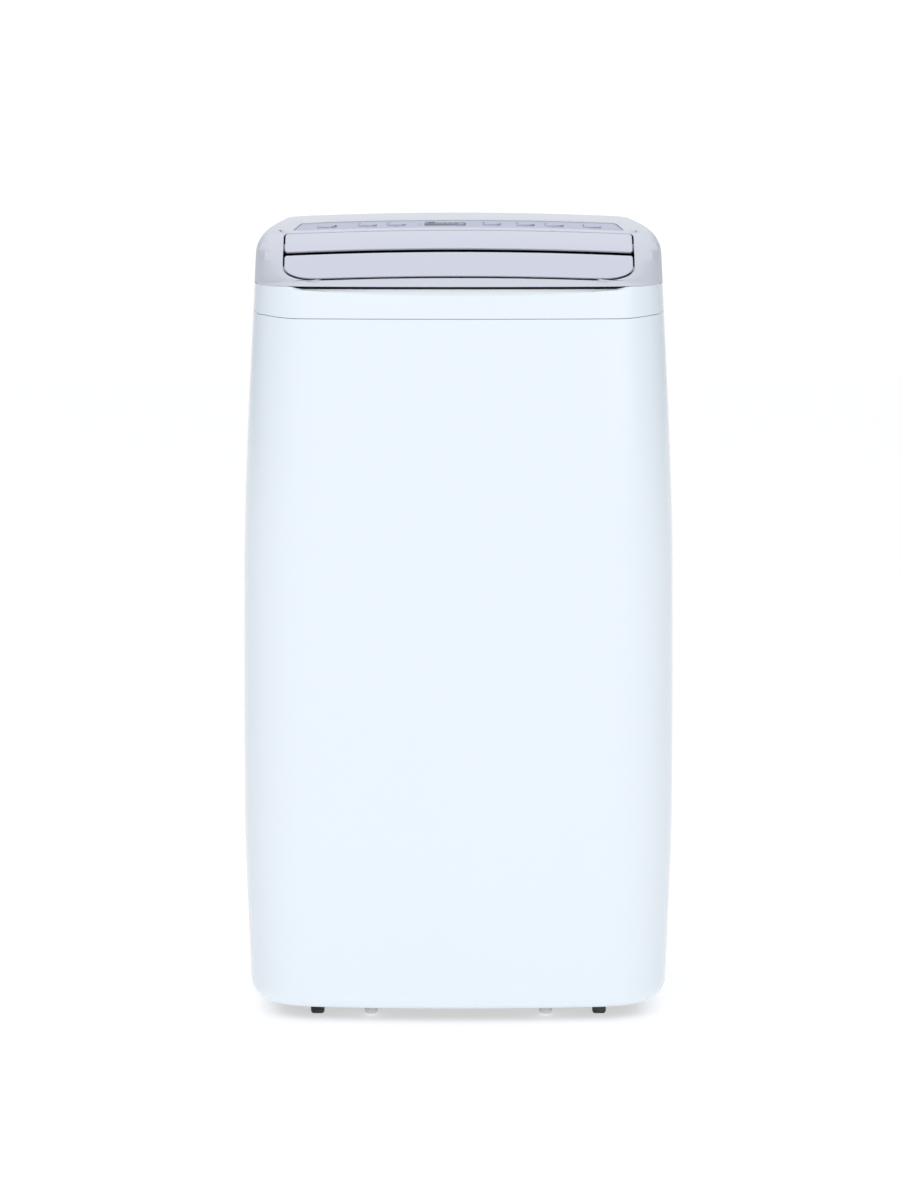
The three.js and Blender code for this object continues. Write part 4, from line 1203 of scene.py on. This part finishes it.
@dataclass
class ControlStrip:
    """Film of the strip, its seven keys, the display lens and the printed signs."""

    y0: float = -125.2
    y1: float = -84.0
    half0: float = 159.0
    half1: float = 152.0
    recess: float = 0.9
    key_x: tuple[float, ...] = (-128.0, -88.0, -60.0, 32.0, 64.0, 92.0, 129.0)
    key_size: tuple[float, float] = (17.0, 9.0)
    key_y: float = -106.0
    lens_x: float = -13.0
    lens_size: tuple[float, float] = (40.0, 14.0)

    @property
    def tilt(self) -> float:
        """Slope of the strip from the level."""
        x0, z0, x1, z1 = FORM.strip_line
        return math.atan2(z1 - z0, x1 - x0)

    def film(self) -> bpy.types.Object:
        """Build the film: the top's own face set down by the recess, over a tapering strip."""
        surface = Surface()

        def place(x: Array, v: Array) -> Array:
            """Strip point; x is measured at the front edge and shrinks towards the rear one."""
            across = x * (self.half0 + (self.half1 - self.half0) * v) / self.half0
            y = self.y0 + (self.y1 - self.y0) * v + FORM.top_bow * (across / 170.0) ** 2
            return FORM.top_point(across, y, -self.recess)

        def hole(x: float, a: float, b: float) -> Cutout:
            """Opening of a key or the lens, turned into the strip's own parameters."""
            edge = rounded_box(a, b, 1.6)
            y = self.key_y + edge[:, 1] * math.cos(self.tilt)
            v = (y - FORM.top_bow * (x / 170.0) ** 2 - self.y0) / (self.y1 - self.y0)
            shrink = (self.half0 + (self.half1 - self.half0) * v) / self.half0
            path = np.stack([(x + edge[:, 0]) / shrink, v], axis=1)
            middle = (self.half0 + (self.half1 - self.half0) * 0.48) / self.half0
            return Cutout(((x - a - 2.2) / middle, 0.14), ((x + a + 2.2) / middle, 0.86), path, 3)

        w, d = self.key_size
        cuts = [hole(x, w / 2 + 0.35, d / 2 + 0.35) for x in self.key_x]
        cuts.append(hole(self.lens_x, self.lens_size[0] / 2 + 0.3, self.lens_size[1] / 2 + 0.3))
        ends = sorted([value for cut in cuts for value in (cut.low[0], cut.high[0])])
        x = line_up([-self.half0, *ends, self.half0], 4.0)
        v = line_up([0.0, 0.14, 0.86, 1.0], 0.12)
        panel(surface, x, v, place, cuts)
        piece = surface.build("control_film", False)
        thicken(piece, 1.4)
        ease_edges(piece, 0.25, 2)
        return piece

    def _cushion(self, surface: Surface, x: float, half: tuple[float, float], radius: float, top: float,
                 swell: float, low: float) -> None:
        """Add a crowned cap: rounded rectangles that rise up a skirt, turn over and swell to the middle.

        Args:
            surface: where it goes.
            x: its place across the strip.
            half: half width and half depth.
            radius: corner radius.
            top: height of its rim above the film's face.
            swell: rise of its middle above the rim.
            low: depth of its foot below the film's face.
        """
        steps = [(1.0, low), (1.0, top - 0.5), (0.985, top - 0.2), (0.955, top - 0.03)]
        steps += [(k, top + swell * rise) for k, rise in ((0.9, 0.12), (0.7, 0.5), (0.45, 0.82), (0.2, 0.97))]
        path = rounded_box(half[0], half[1], radius, 7)
        shrink = np.array([half[0] - half[1], 0.0])
        rings = []
        c, s = math.cos(self.tilt), math.sin(self.tilt)
        base = FORM.top_point(np.array([x]), np.array([self.key_y]), -self.recess)[0]
        for k, height in steps:
            core = np.sign(path) * np.minimum(np.abs(path), shrink) * [1.0, 0.0]
            flat = core * (0.35 + 0.65 * k) + (path - core) * k
            y = flat[:, 1] * c - height * s
            z = flat[:, 1] * s + height * c
            rings.append(np.stack([base[0] + flat[:, 0], base[1] + y, base[2] + z], axis=1))
        surface.solid_rings(np.stack(rings))

    def signs(self) -> bpy.types.Object:
        """Build the printed signs: ribbons of even width along each sign's centre lines."""
        surface = Surface()
        plan = (Sign.POWER, Sign.FAN, Sign.CLOCK, Sign.DOWN, Sign.UP, Sign.DROP, Sign.SWING)
        marks = [(x, -117.2, 2.6, sign) for x, sign in zip(self.key_x, plan)]
        marks += [(-37.0, -104.0, 2.4, Sign.FLAKE), (-37.0, -111.0, 2.0, Sign.DROP),
                  (13.5, -104.0, 2.4, Sign.FAN)]
        for x, y, size, sign in marks:
            for line in strokes(sign):
                path = along(line, np.linspace(0.0, 1.0, 15), False) * size
                run = np.gradient(path, axis=0)
                run /= np.maximum(np.linalg.norm(run, axis=1), 1e-9)[:, None]
                side = np.stack([-run[:, 1], run[:, 0]], axis=1) * 0.24
                flat = np.stack([path + side, path - side], axis=1) + [x, y + FORM.top_bow * (x / 170.0) ** 2]
                ink = FORM.top_point(flat[..., 0], flat[..., 1], 0.04 - self.recess)
                surface.quads(surface.add(ink)[:, ::-1])
        return surface.build("strip_signs", False)

    def lens_marks(self) -> bpy.types.Object:
        """Build the display's faint segments: two outlined figures of bars."""
        surface = Surface()
        c, s = math.cos(self.tilt), math.sin(self.tilt)
        base = FORM.top_point(np.array([self.lens_x]), np.array([self.key_y]), -self.recess)[0]
        bars = []
        for x in (-5.2, 5.2):
            bars += [(x, 4.0, 5.0, 0.8), (x, 0.0, 5.0, 0.8), (x, -4.0, 5.0, 0.8)]
            bars += [(x + a, b, 0.8, 3.0) for a in (-3.1, 3.1) for b in (-2.0, 2.0)]
        for x, y, w, d in bars:
            flat = rounded_box(w / 2, d / 2, 0.35, 3) + [x, y]
            top = np.stack([base[0] + flat[:, 0], base[1] + flat[:, 1] * c - 0.66 * s,
                            base[2] + flat[:, 1] * s + 0.66 * c], axis=1)
            ring = surface.add(top)
            surface.close(ring, top.mean(axis=0))
        return surface.build("display_segments", False)

    def build(self, wardrobe: Wardrobe) -> None:
        """Make the film, keys, lens and signs."""
        wardrobe.dress(self.film(), "chassis", Finish.STRIP, "control_fascia")
        key, lens = ((size[0] / 2, size[1] / 2) for size in (self.key_size, self.lens_size))
        for k, x in enumerate(self.key_x):
            surface = Surface()
            self._cushion(surface, x, key, 1.5, 0.8, 0.35, -3.2)
            cap = surface.build(f"key_cap_{k + 1}", True)
            wardrobe.dress(cap, f"key_{k + 1}", Finish.KEY, f"button_{k + 1}")
        surface = Surface()
        self._cushion(surface, self.lens_x, lens, 1.4, 0.55, 0.05, -1.6)
        wardrobe.dress(surface.build("display_lens", True), "chassis", Finish.DISPLAY, "display_window")
        wardrobe.dress(self.signs(), "chassis", Finish.SIGN)
        wardrobe.dress(self.lens_marks(), "chassis", Finish.KEY)


# ---- Rear and sides -------------------------------------------------------------------------
@dataclass
class RearFittings:
    """Intake doors, hose collar, drains, cord gland and the panel's screws."""

    panels: CabinetPanels
    face: float = 185.0

    def _rear(self, u: Array, z: Array, out: Array | float) -> Array:
        """Point of the back, u to the right as seen from behind, `out` beyond its face."""
        u, z, out = np.broadcast_arrays(u, z, out)
        return np.stack([-u, self.face + out, z], axis=-1)

    def door(self, name: str, half: float, z0: float, z1: float, slats: int) -> bpy.types.Object:
        """Build an intake door: a rolled frame, leaning slats and upright ribs.

        The frame is a run of rounded rectangles from its outer wall over its face to its window. A
        slat is a rounded, tilted outline drawn across.
        """
        surface = Surface()
        mid, tall = (z0 + z1) / 2, (z1 - z0) / 2
        steps = [(0.5, -3.0), (0.5, -0.7), (0.8, -0.2), (1.4, 0.0), (8.0, 0.0), (8.6, -0.2), (8.9, -0.7),
                 (9.2, -3.0)]
        rings = []
        for inset, out in steps:
            path = rounded_box(half - inset, tall - inset, max(8.0 - inset * 0.5, 3.0), 8)
            rings.append(self._rear(path[:, 0], path[:, 1] + mid, out))
        surface.torus(np.stack(rings).transpose(1, 0, 2)[:, ::-1])
        pitch = (2 * tall - 20.0) / slats
        turn = np.linspace(0.0, 2 * math.pi, 12, endpoint=False)
        oval = np.stack([1.9 * np.cos(turn), 0.75 * np.sin(turn)], axis=1)
        lean = math.radians(38.0)
        spin = np.array([[math.cos(lean), math.sin(lean)], [-math.sin(lean), math.cos(lean)]])
        section = oval @ spin
        for k in range(slats):
            z = mid - tall + 10.0 + (k + 0.5) * pitch
            u = np.array([-(half - 8.8), half - 8.8])
            grid = self._rear(u[:, None], z + section[None, :, 1], -1.9 + section[None, :, 0])
            surface.solid_rings(grid)
        for u in (-half * 0.5, 0.0, half * 0.5):
            width = 2.6 if u == 0.0 else 1.3
            flat = rounded_box(width, 1.2, 0.5, 4)
            z = np.array([mid - tall + 8.8, mid + tall - 8.8])
            surface.solid_rings(self._rear(u + flat[None, :, 0], z[:, None], -2.4 + flat[None, :, 1]))
        flat = rounded_box(13.0, 3.2, 1.4, 5)
        tab = [self._rear(flat[:, 0] * k, flat[:, 1] * k + z1 - 4.8, out)
               for k, out in ((1.0, -0.5), (1.0, 0.5), (0.94, 0.8), (0.7, 0.35), (0.3, 0.25))]
        surface.solid_rings(np.stack(tab))
        return surface.build(name, True, 35.0)

    def collar(self) -> bpy.types.Object:
        """Build the hose collar: a turned spigot with a rolled lip, two grip beads and a flange."""
        y = self.face
        profile = [(71.0, y - 9), (75.0, y - 9), (75.0, y + 0.3), (83.4, y + 0.3), (84.0, y + 0.9),
                   (84.0, y + 2.3), (83.2, y + 3.0), (77.0, y + 3.0), (75.6, y + 3.5), (75.0, y + 4.6),
                   (75.0, y + 7.4),
                   (75.5, y + 8.0), (75.0, y + 8.6), (75.0, y + 10.8), (75.5, y + 11.4), (75.0, y + 12.0),
                   (75.0, y + 14.1), (74.5, y + 14.8), (73.0, y + 15.0), (71.6, y + 14.8), (71.0, y + 14.1)]
        surface = Surface()
        z = self.panels.collar[0]
        surface.torus(lathe(profile, (0.0, 0.0, z), "y", 128))
        for k in range(4):
            a = math.radians(45.0 + 90.0 * k)
            flat = rounded_box(6.0, 1.3, 0.8, 4)
            rings = []
            for out, grow in ((2.8, 1.0), (4.6, 1.0), (5.0, 0.85)):
                u = flat[:, 0] * grow
                r = 81.0 + flat[:, 1] * grow
                rings.append(np.stack([r * np.cos(a) - u * np.sin(a), np.full(len(u), y + out),
                                       z + r * np.sin(a) + u * np.cos(a)], axis=1))
            surface.solid_rings(np.stack(rings))
        return surface.build("hose_collar", True, 30.0)

    def spout(self, name: str, x: float, z: float) -> bpy.types.Object:
        """Build a drain spout: a turned tube with a rounded flange."""
        y = self.face
        profile = [(6.6, y - 15), (10.0, y - 15), (10.0, y + 0.35), (12.6, y + 0.35), (13.0, y + 0.8),
                   (13.0, y + 1.9), (12.4, y + 2.5), (9.6, y + 2.5), (9.0, y + 3.2), (9.0, y + 5.4),
                   (8.6, y + 6.0), (7.0, y + 6.0), (6.6, y + 5.6)]
        return turned_ring(name, profile, (x, 0.0, z), "y", 40)

    def plug(self, name: str, x: float, z: float) -> bpy.types.Object:
        """Build a drain plug: a ribbed turned stopper with a rounded pull tab."""
        y = self.face
        profile = [(5.6, y - 8), (6.2, y - 7.4), (6.2, y - 3.5), (6.45, y - 3.0), (6.2, y - 2.5),
                   (6.2, y + 0.5), (6.45, y + 1.0), (6.2, y + 1.5), (6.2, y + 6.4), (9.4, y + 6.4),
                   (10.0, y + 7.0),
                   (10.0, y + 8.3), (9.3, y + 9.0), (4.0, y + 9.2)]
        surface = Surface()
        surface.solid_rings(lathe(profile, (x, 0.0, z), "y", 36))
        flat = rounded_box(1.2, 6.0, 1.1, 5)
        tab = [np.stack([x + flat[:, 0] * k, np.full(len(flat), y + out), z + flat[:, 1] * k], axis=1)
               for out, k in ((8.6, 1.0), (12.0, 0.95), (13.4, 0.8), (13.9, 0.5))]
        surface.solid_rings(np.stack(tab))
        return surface.build(name, True, 35.0)

    def gland(self) -> bpy.types.Object:
        """Build the cord's gland: a flange and a ribbed taper round an open bore."""
        y = self.face
        profile = [(4.2, y - 13), (9.0, y - 13), (9.0, y + 0.35), (11.6, y + 0.35), (12.0, y + 0.8),
                   (12.0, y + 2.2), (11.4, y + 2.9), (9.3, y + 3.0), (8.9, y + 4.2), (8.2, y + 4.4),
                   (8.3, y + 5.6), (7.7, y + 5.8), (7.7, y + 7.0), (7.0, y + 7.3), (6.8, y + 8.6),
                   (6.2, y + 9.0), (4.8, y + 9.0), (4.2, y + 8.6)]
        return turned_ring("cord_gland", profile, (150.0, 0.0, 55.0), "y", 36)

    def screws(self) -> bpy.types.Object:
        """Build the back panel's pan-head screws, with a pressed cross in each."""
        surface = Surface()
        turn = np.linspace(0.0, 2 * math.pi, 32, endpoint=False)
        profile = ((4.0, -0.4), (4.0, 0.7), (3.6, 1.3), (2.9, 1.7), (2.1, 1.85), (1.9, 1.2), (0.7, 0.7))
        for x in (-166.0, 166.0):
            for z in (92.0, 300.0, 442.0, 668.0):
                rings = []
                for r, out in profile:
                    cross = 1.0 if r > 2.0 else 0.62
                    reach = r * (cross + (1 - cross) * np.cos(2 * turn) ** 6)
                    rings.append(np.stack([x + reach * np.sin(turn), np.full(32, self.face + out),
                                           z + reach * np.cos(turn)], axis=1))
                surface.solid_rings(np.stack(rings))
        return surface.build("back_screws", True, 30.0)

    def build(self, wardrobe: Wardrobe) -> None:
        """Make everything on the back."""
        half, z0, z1 = self.panels.upper_grille
        wardrobe.dress(self.door("upper_intake_door", half, z0, z1, 24), "upper_door", Finish.GRILLE,
                       "intake_grille_upper")
        half, z0, z1 = self.panels.lower_grille
        wardrobe.dress(self.door("lower_intake_door", half, z0, z1, 22), "lower_door", Finish.GRILLE,
                       "intake_grille_lower")
        wardrobe.carry("filter_upper", Finish.FILTER)
        wardrobe.carry("filter_lower", Finish.FILTER)
        wardrobe.dress(self.collar(), "chassis", Finish.TRAY, "exhaust_collar")
        for name, x, z in (("upper", 128.0, 330.0), ("lower", -128.0, 55.0)):
            wardrobe.dress(self.spout(f"{name}_drain", x, z), "chassis", Finish.GRILLE, f"drain_spout_{name}")
            wardrobe.dress(self.plug(f"{name}_stopper", x, z), f"{name}_plug", Finish.RUBBER,
                           f"drain_plug_{name}")
        wardrobe.dress(self.gland(), "chassis", Finish.RUBBER, "cord_inlet")
        wardrobe.dress(self.screws(), "chassis", Finish.STEEL)


@dataclass
class SideGrips:
    """Finger pockets in the side panels."""

    panels: CabinetPanels

    def pocket(self, name: str, side: int) -> bpy.types.Object:
        """Build a pocket: rounded rectangles on the wall that go over a lip, in, and close at the bottom."""
        surface = Surface()
        y, reach, z0, z1 = self.panels.grip
        c, mid, tall = FORM.arc_at(y) * side, (z0 + z1) / 2, (z1 - z0) / 2
        steps = [(2.6, 0.2), (2.4, -0.5), (1.8, -0.85), (0.6, -0.85), (-0.2, -0.5), (-0.6, 0.4), (-1.4, 12.0),
                 (-2.4, 21.0), (-3.6, 24.3), (-6.2, 25.7), (-9.0, 26.0)]
        rings = []
        for grow, depth in steps:
            path = rounded_box(reach + grow, tall + grow, max(13.0 + grow, 4.0), 10)
            rings.append(FORM.wall(c + path[:, 0], mid + path[:, 1], depth))
        index = surface.add(np.stack(rings))
        surface.rings(list(index))
        surface.close(index[-1], rings[-1].mean(axis=0))
        piece = surface.build(name, False, 60.0)
        thicken(piece, 1.8)
        return piece

    def build(self, wardrobe: Wardrobe) -> None:
        """Make both pockets."""
        for name, side in (("right", 1), ("left", -1)):
            wardrobe.dress(self.pocket(f"{name}_grip", side), "chassis", Finish.COVER, f"handle_{name}")


# ---- Running gear ---------------------------------------------------------------------------
@dataclass
class RunningGear:
    """Caster wheels, their forks, the front glides and the base."""

    radius: float = 14.0
    half_width: float = 6.5

    def wheel(self, name: str, centre: Array) -> bpy.types.Object:
        """Build a wheel: a tyre with rounded shoulders over a dished hub with spokes pressed in."""
        h, r = self.half_width, self.radius
        profile = [(2.8, -h + 0.3), (4.4, -h), (5.0, -h + 0.5), (6.0, -h + 1.4), (9.0, -h + 1.5),
                   (9.8, -h + 0.4), (10.4, -h + 0.05), (12.0, -h), (13.2, -h + 0.6), (r - 0.15, -h + 1.7),
                   (r, -h + 3.0), (r, 0.0)]
        half = np.array(profile)
        full = np.vstack([half, half[-2::-1] * [1, -1]])
        return turned_ring(name, full, centre, "x", 48, 30.0)

    def glide(self, name: str, x: float, y: float) -> bpy.types.Object:
        """Build a glide: a turned foot with a domed sole and a waist."""
        profile = [(0.5, 1.0), (3.2, 1.25), (5.2, 2.4), (6.3, 4.2), (6.5, 6.0), (6.5, 12.0), (6.1, 12.6),
                   (6.1, 14.0), (6.5, 14.6), (6.5, 24.0), (9.0, 26.0), (9.0, 35.4), (8.6, 35.6)]
        surface = Surface()
        surface.solid_rings(lathe(profile, (x, y, 0.0), "z", 40))
        return surface.build(name, True, 40.0)

    def build(self, wardrobe: Wardrobe) -> None:
        """Make the wheels and glides and dress the forks and the base."""
        for joint in frame["record"]["behaviour"]["joints"]:
            if joint["name"].endswith("_roll"):
                place = joint["name"][:-5]
                centre = np.array(joint["pos_m"]) / MM - [0.0, SHIFT_Y, 0.0]
                wardrobe.dress(self.wheel(f"wheel_tread_{place}", centre), f"wheel_{place}", Finish.TYRE,
                               f"caster_wheel_{place}")
                wardrobe.carry(f"caster_fork_{place}", Finish.CASTER, 0.4)
        for name in ("left", "right"):
            low, high = (np.array(corner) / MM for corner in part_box(f"glide_{name}"))
            mid = (low + high) / 2
            wardrobe.dress(self.glide(f"{name}_foot", mid[0], mid[1] - SHIFT_Y), "chassis", Finish.GLIDE,
                           f"glide_{name}")
        wardrobe.carry("base_tray", Finish.TRAY, 0.6)


INSIDE = {
    "compressor": (Finish.COMPRESSOR, 1.5), "compressor_mount": (Finish.STEEL, 0.8),
    "condenser_coil": (Finish.COIL, 0.0), "evaporator_coil": (Finish.COIL, 0.0),
    "upper_fan_housing": (Finish.TRAY, 0.8), "lower_fan_housing": (Finish.TRAY, 0.8),
    "upper_fan_wheel": (Finish.DUCT, 0.0), "lower_fan_wheel": (Finish.DUCT, 0.0),
    "upper_fan_motor": (Finish.MOTOR, 0.8), "lower_fan_motor": (Finish.MOTOR, 0.8),
    "exhaust_duct": (Finish.TRAY, 0.8), "partition_tray": (Finish.TRAY, 0.8),
}


class Machinery:
    """The machines inside, which keep their own solids."""

    def build(self, wardrobe: Wardrobe) -> None:
        """Dress each solid inside."""
        for node, (finish, bevel) in INSIDE.items():
            wardrobe.carry(node, finish, bevel)


# ---- Studio ---------------------------------------------------------------------------------
@dataclass
class Studio:
    """Pale floor, soft lights, white surroundings and the camera."""

    distance: float = 3.62
    height: float = 0.869
    pitch: float = -7.468
    aside: float = -0.0083
    lens: float = 108.23
    world: float = 1.06
    floor_white: float = 0.55

    def floor(self) -> None:
        """Build the floor: a wide flat sheet at height nil."""
        n = 33
        x, y = np.meshgrid(np.linspace(-9.0, 9.0, n), np.linspace(-9.0, 9.0, n), indexing="ij")
        points = np.stack([x, y, np.zeros_like(x)], axis=-1).reshape(-1, 3)
        index = np.arange(n * n).reshape(n, n)
        cells = np.stack([index[:-1, :-1], index[1:, :-1], index[1:, 1:], index[:-1, 1:]], axis=-1)
        mesh = bpy.data.meshes.new("studio_floor")
        mesh.from_pydata(points.tolist(), [], cells.reshape(-1, 4).tolist())
        floor = bpy.data.objects.new("studio_floor", mesh)
        bpy.context.scene.collection.objects.link(floor)
        g = Graph("Studio floor")
        shade = g.noise(2.0, 2.0)
        w = self.floor_white
        mesh.materials.append(g.finish(Base_Color=g.blend(shade, (w, w, w), (w * 0.97, w * 0.97, w)),
                                       Roughness=0.9, Specular_IOR_Level=0.1,
                                       Emission_Color=(1.0, 1.0, 1.0, 1.0), Emission_Strength=0.57))

    def light(self, name: str, place: Sequence[float], target: Sequence[float], size: tuple[float, float],
              power: float, colour: RGB = (1.0, 1.0, 1.0)) -> None:
        """Add one soft box aimed at a point."""
        data = bpy.data.lights.new(name, "AREA")
        data.shape = "RECTANGLE"
        data.size, data.size_y = size
        data.energy = power
        data.color = colour
        lamp = bpy.data.objects.new(name, data)
        lamp.location = place
        lamp.rotation_euler = (Vector(target) - Vector(place)).to_track_quat("-Z", "Y").to_euler()
        lamp.visible_camera = False
        bpy.context.scene.collection.objects.link(lamp)

    def surroundings(self) -> None:
        """Light the surroundings: white behind and above, dimmer at the two sides."""
        world = bpy.data.worlds.new("Studio")
        world.use_nodes = True
        tree = world.node_tree
        shade = tree.nodes["Background"]
        coords = tree.nodes.new("ShaderNodeTexCoord")
        split = tree.nodes.new("ShaderNodeSeparateXYZ")
        tree.links.new(coords.outputs["Generated"], split.inputs[0])
        bend = tree.nodes.new("ShaderNodeMath")
        bend.operation = "ABSOLUTE"
        tree.links.new(split.outputs[0], bend.inputs[0])
        ramp = tree.nodes.new("ShaderNodeValToRGB")
        ramp.color_ramp.elements[0].position = 0.28
        ramp.color_ramp.elements[0].color = (1.0, 1.0, 1.0, 1.0)
        ramp.color_ramp.elements[1].position = 0.85
        ramp.color_ramp.elements[1].color = (0.12, 0.14, 0.17, 1.0)
        tree.links.new(bend.outputs[0], ramp.inputs[0])
        tree.links.new(ramp.outputs[0], shade.inputs["Color"])
        shade.inputs["Strength"].default_value = self.world
        bpy.context.scene.world = world

    def camera(self) -> None:
        """Add the camera, level with nothing tilted sideways."""
        data = bpy.data.cameras.new("Camera")
        data.lens = self.lens
        data.sensor_width = 36.0
        data.clip_end = 60.0
        eye = bpy.data.objects.new("Camera", data)
        eye.location = (self.aside, -self.distance, self.height)
        eye.rotation_euler = (math.radians(90.0 + self.pitch), 0.0, 0.0)
        bpy.context.scene.collection.objects.link(eye)
        bpy.context.scene.camera = eye

    def build(self) -> None:
        """Set the whole studio up."""
        self.floor()
        self.surroundings()
        self.light("Key box", (-1.4, -3.4, 2.6), (0.0, 0.0, 0.45), (2.4, 2.0), 20.0)
        self.light("Fill box", (1.9, -3.2, 1.5), (0.0, 0.0, 0.4), (1.8, 2.2), 10.0)
        self.light("Top box", (0.0, 0.6, 3.2), (0.0, 0.0, 0.3), (2.6, 2.2), 14.0)
        self.camera()
        bpy.context.scene.view_settings.view_transform = "Standard"


def main() -> None:
    """Build every sub-assembly in order, then the studio."""
    logging.basicConfig(level=logging.INFO, format="%(message)s")
    Studio().build()
    wardrobe = Wardrobe()
    panels = CabinetPanels()
    panels.build(wardrobe)
    TopCover(panels).build(wardrobe)
    OutletLouvres().build(wardrobe)
    ControlStrip().build(wardrobe)
    RearFittings(panels).build(wardrobe)
    SideGrips(panels).build(wardrobe)
    RunningGear().build(wardrobe)
    Machinery().build(wardrobe)


if __name__ == "__main__":
    main()
